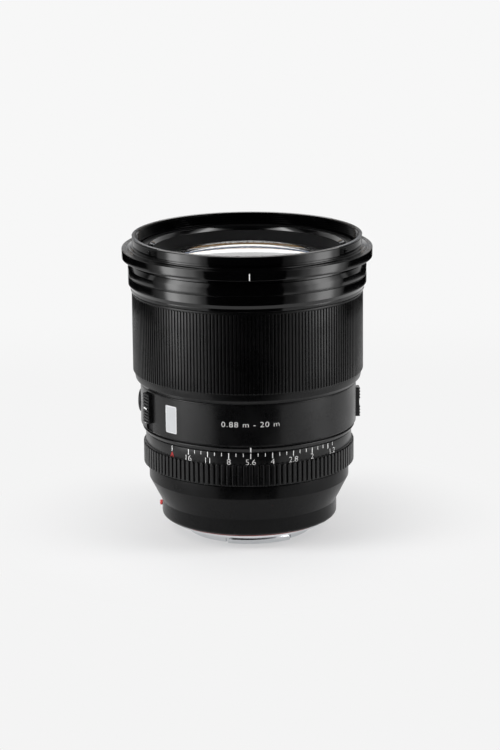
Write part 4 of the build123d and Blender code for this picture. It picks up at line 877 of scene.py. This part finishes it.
rear_outline = soften([
    (22.7, REAR_LOW, 0),
    (REAR_RADIUS, REAR_LOW, 1.6),
    (REAR_RADIUS, 10.9, 0.3),
    (REAR_TOP, 19.3, 0.35),
    (REAR_TOP, REAR_HIGH, 0.2),
    (33.4, REAR_HIGH, 0),
    (33.4, 18.0, 0),
    (31.4, 18.0, 0),
    (31.4, 14.44, 0),
    (28.9, 10.9, 0),
    (28.9, 7.2, 0),
    (22.7, 7.2, 0),
], 6)
# The rear barrel takes the satin's painted-shade copy, darker and less shiny
new_piece("rear_barrel_body", lathe("rear_barrel_body", rear_outline, 480), paint=shaded_rear_black,
          stands_for=("rear_barrel",))

BEAD_RADIUS, BEAD_HALF, BEAD_ANGLE, BEAD_Z = 0.92, 0.9, -92.0, 8.5
bead = drum([(0, -BEAD_HALF, 0), (BEAD_RADIUS, -BEAD_HALF, 0), (BEAD_RADIUS, BEAD_HALF, 0.85),
             (0, BEAD_HALF, 0)], 48)
new_piece("mount_bead_dome", placed(bead, BEAD_ANGLE, REAR_RADIUS, BEAD_Z), paint=red_bead,
          stands_for=("mount_index_bead",))

# Front glass

GLASS_TOP = 98.6


def bulge_at(radius, rim, bulge):
    """Height of a round glass face above its rim; a negative bulge makes it hollow."""
    sphere = (rim**2 + bulge**2) / (2 * abs(bulge))
    return bulge - copysign(sphere - sqrt(sphere**2 - radius**2), bulge)


def glass_mesh(name, rim, low, edge, back, front, steps=48):
    """Glass element; back and front are how far its faces bulge out."""
    across = [rim * (1 - step / steps) for step in range(steps + 1)]
    upper = [(radius, low + edge + bulge_at(radius, rim, front)) for radius in across]
    lower = [(radius, low - bulge_at(radius, rim, back)) for radius in reversed(across)]
    return lathe(name, upper + lower, 240)


for name, rim, seat, edge, back, front, coating in (
    ("front_element", 32.6, 4.5, 2.2, -3.2, 4.1, front_coating),
    ("second_element", 31.2, 10.4, 2.2, -4.0, 4.6, amber_coating),
):
    piece = glass_mesh(f"{name}_polished", rim, GLASS_TOP - seat, edge, back, front)
    new_piece(f"{name}_polished", piece, paint=coating, stands_for=(name,))

# Materials of the CAD nodes that stay; the nodes that pieces stand for aren't shown and take satin

NODE_PAINT = {
    "bayonet_mount": chrome,
    "mount_gasket": red_rubber,
    "mount_screws": steel,
    "contact_block": black_plastic,
    "contact_pins": gold,
    "rear_baffle": inner_black,
    "circuit_board": board_green,
    "circuit_board_screws": steel,
    "chassis_barrel": inner_black,
    "mode_switch_plate": black_plastic,
    "click_switch_plate": black_plastic,
    "switch_board": board_amber,
    "front_lens_cell": inner_black,
    "iris_base_plate": inner_black,
    "iris_drive_ring": black_plastic,
    "iris_cover_plate": inner_black,
    "iris_motor": motor_shell,
    "focus_cell": inner_black,
    "focus_retaining_ring": inner_black,
    "focus_nut": brass,
    "focus_motor": motor_shell,
    "lead_screw": steel,
    "guide_rods": steel,
    "rear_cell": inner_black,
    "rear_retaining_ring": inner_black,
    "third_fourth_elements": blue_coating,
    "fifth_element": green_coating,
    "sixth_seventh_elements": amber_coating,
    "eighth_element": blue_coating,
    "ninth_element": green_coating,
    "tenth_eleventh_elements": amber_coating,
    "twelfth_thirteenth_elements": blue_coating,
    "fourteenth_fifteenth_elements": green_coating,
    "sixteenth_element": blue_coating,
}
for name, node in nodes.items():
    paint = blade_black if name.startswith("iris_blade") else NODE_PAINT.get(name, satin)
    for holder in node.material_slots:
        holder.material = paint

# Floor and backdrop

FLOOR_HALF, FLOOR_Z = 3000, -0.1
FADE_START, FADE_END = 30, 100
BEHIND_START, BEHIND_END = 200, 340
SEEN_NEAR, SEEN_FAR, SEEN_CEILING = 0.905, 0.93, 0.02
WORLD_LIGHT = (0.47, 0.47, 0.475, 1)


def grey(level):
    """Colour of one level."""
    return (level, level, level)


def seen_rays(tree):
    """1 for the rays that show the backdrop, straight or in metal and glass."""
    path = add_node(tree, "ShaderNodeLightPath")
    clear = calc(tree, "MAXIMUM", path.outputs["Is Glossy Ray"], path.outputs["Is Transmission Ray"])
    return calc(tree, "MAXIMUM", path.outputs["Is Camera Ray"], clear)


def floor_paper():
    """Pale floor that takes the shadow near the lens and fades into the plain backdrop further out."""
    made, tree, body = new_material("pale_floor")
    where = object_place(tree)
    tree.links.new(tinted(tree, noise(tree, where, 60.0), (0.77, 0.77, 0.775), (0.79, 0.79, 0.795)),
                   body.inputs["Base Color"])
    tree.links.new(bumped(tree, noise(tree, where, 0.6), 0.004), body.inputs["Normal"])
    body.inputs["Roughness"].default_value = 0.30
    body.inputs["Specular IOR Level"].default_value = 0.0
    glow = add_node(tree, "ShaderNodeEmission")
    behind = share_of(tree, split(tree, where)["Y"], BEHIND_START * MM, BEHIND_END * MM)
    tree.links.new(tinted(tree, behind, grey(SEEN_NEAR), grey(SEEN_FAR)), glow.inputs["Color"])
    fade = share_of(tree, measured(tree, where), FADE_START * MM, FADE_END * MM, 0.40, 1.0)
    blend = add_node(tree, "ShaderNodeMixShader")
    tree.links.new(calc(tree, "MULTIPLY", seen_rays(tree), fade), blend.inputs["Fac"])
    tree.links.new(body.outputs[0], blend.inputs[1])
    tree.links.new(glow.outputs[0], blend.inputs[2])
    tree.links.new(blend.outputs[0], tree.nodes["Material Output"].inputs["Surface"])
    return made


half = FLOOR_HALF * MM
floor_corners = [(-half, -half, 0), (half, -half, 0), (half, half, 0), (-half, half, 0)]
floor_mesh = bpy.data.meshes.new("floor")
floor_mesh.from_pydata(floor_corners, [], [(0, 1, 2, 3)])
floor_mesh.materials.append(floor_paper())
floor = bpy.data.objects.new("floor", floor_mesh)
floor.location.z = FLOOR_Z * MM
bpy.context.scene.collection.objects.link(floor)

# White all round near the horizon, with a dark ceiling for the rays that show the backdrop
world = bpy.data.worlds.new("studio")
bpy.context.scene.world = world
world.use_nodes = True
sky = world.node_tree
direction = split(sky, add_node(sky, "ShaderNodeTexCoord").outputs["Generated"])
ceiling = share_of(sky, direction["Z"], 0.50, 0.70)
mix = add_node(sky, "ShaderNodeMix", data_type="RGBA")
sky.links.new(seen_rays(sky), mix.inputs["Factor"])
mix.inputs[MIX_A].default_value = WORLD_LIGHT
sky.links.new(tinted(sky, ceiling, grey(SEEN_FAR), grey(SEEN_CEILING)), mix.inputs[MIX_B])
sky.links.new(mix.outputs[MIX_RESULT], sky.nodes["Background"].inputs["Color"])
sky.nodes["Background"].inputs["Strength"].default_value = 1.0

# Lights, cards and bands round the lens


def curved_screen(name, distance, start, end, low, high, paint):
    """Upright curved screen round the lens that the camera doesn't see."""
    steps = 24
    verts = []
    for step in range(steps + 1):
        turn = radians(start + (end - start) * step / steps)
        for height in (low, high):
            verts.append(Vector((distance * sin(turn), -distance * cos(turn), height)) * MM)
    faces = [(2 * step, 2 * step + 2, 2 * step + 3, 2 * step + 1) for step in range(steps)]
    mesh = bpy.data.meshes.new(name)
    mesh.from_pydata(verts, [], faces)
    mesh.materials.append(paint)
    screen = bpy.data.objects.new(name, mesh)
    bpy.context.scene.collection.objects.link(screen)
    screen.visible_camera = False
    return screen


def glowing(name):
    """Material that only gives light, with its node tree and its shader."""
    made, tree, body = new_material(name)
    tree.nodes.remove(body)
    lamp = add_node(tree, "ShaderNodeEmission")
    tree.links.new(lamp.outputs[0], tree.nodes["Material Output"].inputs["Surface"])
    return made, tree, lamp


def softbox(name, radiance, levels):
    """Light with a level at each angle round the lens, counted from the index line either way."""
    made, tree, lamp = glowing(name)
    place = split(tree, object_place(tree))
    front = calc(tree, "MULTIPLY", place["Y"], -1.0)
    turned = calc(tree, "ABSOLUTE", calc(tree, "ARCTAN2", place["X"], front))
    ramp = add_node(tree, "ShaderNodeValToRGB")
    ramp.color_ramp.interpolation = "EASE"
    tree.links.new(calc(tree, "DIVIDE", turned, pi), ramp.inputs["Fac"])
    stops = ramp.color_ramp.elements
    while len(stops) < len(levels):
        stops.new(0.5)
    for stop, (angle, level) in zip(stops, levels):
        stop.position = angle / 180
        stop.color = (*grey(level), 1)
    tree.links.new(ramp.outputs["Color"], lamp.inputs["Color"])
    lamp.inputs["Strength"].default_value = radiance
    return made


def gel(name, color):
    """Plain glowing cloth."""
    made, tree, lamp = glowing(name)
    lamp.inputs["Color"].default_value = (*color, 1)
    return made


LEFT_LEVELS = ((36, 0.03), (41, 0.10), (51, 0.36), (61, 0.62), (70, 1.0), (76, 0.9), (83, 0.10),
               (98, 0.03))
RIGHT_LEVELS = ((25, 0.01), (41, 0.04), (51, 0.16), (60, 0.42), (70, 0.85), (78, 0.8), (88, 0.2),
                (98, 0.04))
BACK_LEVELS = ((108, 0.0), (128, 0.35), (150, 0.6), (168, 1.0), (180, 1.0))
curved_screen("left_panel", 320, -36, -98, 0, 760, softbox("left_light", 7.5, LEFT_LEVELS))
curved_screen("right_panel", 320, 25, 98, 0, 760, softbox("right_light", 6.5, RIGHT_LEVELS))
curved_screen("back_panel", 620, 108, 252, 150, 620, softbox("back_light", 2.0, BACK_LEVELS))

# Black cards keep the pale floor out of the glossy sides, before the lens and behind it on both sides
black_cloth = new_material("black_cloth")[0]
weave = black_cloth.node_tree.nodes["Principled BSDF"]
weave.inputs["Base Color"].default_value = (0.001, 0.001, 0.001, 1)
weave.inputs["Specular IOR Level"].default_value = 0.0
for name, distance, start, end, high in (
    ("front_card", 80, -30, 25, 420),
    ("left_card", 380, -97, -160, 110),
    ("right_card", 380, 97, 160, 110),
):
    card = curved_screen(name, distance, start, end, 0, high, black_cloth)
    card.visible_diffuse = False
    card.visible_shadow = False
    card.visible_transmission = False

# Thin bands before the back panel show in the front glass as fine coloured arcs
for name, low, high, cloth in (
    ("blue_band", 216, 227, gel("blue_gel", (0.30, 0.36, 0.48))),
    ("dark_band", 227, 243, black_cloth),
    ("amber_band", 247, 260, gel("amber_gel", (0.75, 0.46, 0.20))),
):
    band = curved_screen(name, 600, 150, 210, low, high, cloth)
    band.visible_diffuse = False
    band.visible_shadow = False

# Camera

CAMERA_AZIMUTH, CAMERA_ELEVATION, CAMERA_DISTANCE, CAMERA_ROLL = -1.0, 14.0, 1050.0, 0.53
AIM_HEIGHT, AIM_SIDE = 54.6, 0.64

camera_data = bpy.data.cameras.new("camera")
camera = bpy.data.objects.new("camera", camera_data)
bpy.context.scene.collection.objects.link(camera)
bpy.context.scene.camera = camera
camera_data.lens = 144.1
camera_data.clip_start = 50 * MM
camera_data.clip_end = 20000 * MM
turn = radians(CAMERA_AZIMUTH)
rise = radians(CAMERA_ELEVATION)
away = Vector((sin(turn) * cos(rise), -cos(turn) * cos(rise), sin(rise)))
right = Vector((cos(turn), sin(turn), 0))
aim = (Vector((0, 0, AIM_HEIGHT)) + right * AIM_SIDE) * MM
camera.location = aim + away * CAMERA_DISTANCE * MM
camera.rotation_mode = "QUATERNION"
look = (-away).to_track_quat("-Z", "Y")
camera.rotation_quaternion = look @ Matrix.Rotation(radians(-CAMERA_ROLL), 4, "Z").to_quaternion()

bpy.context.scene.view_settings.view_transform = "Standard"
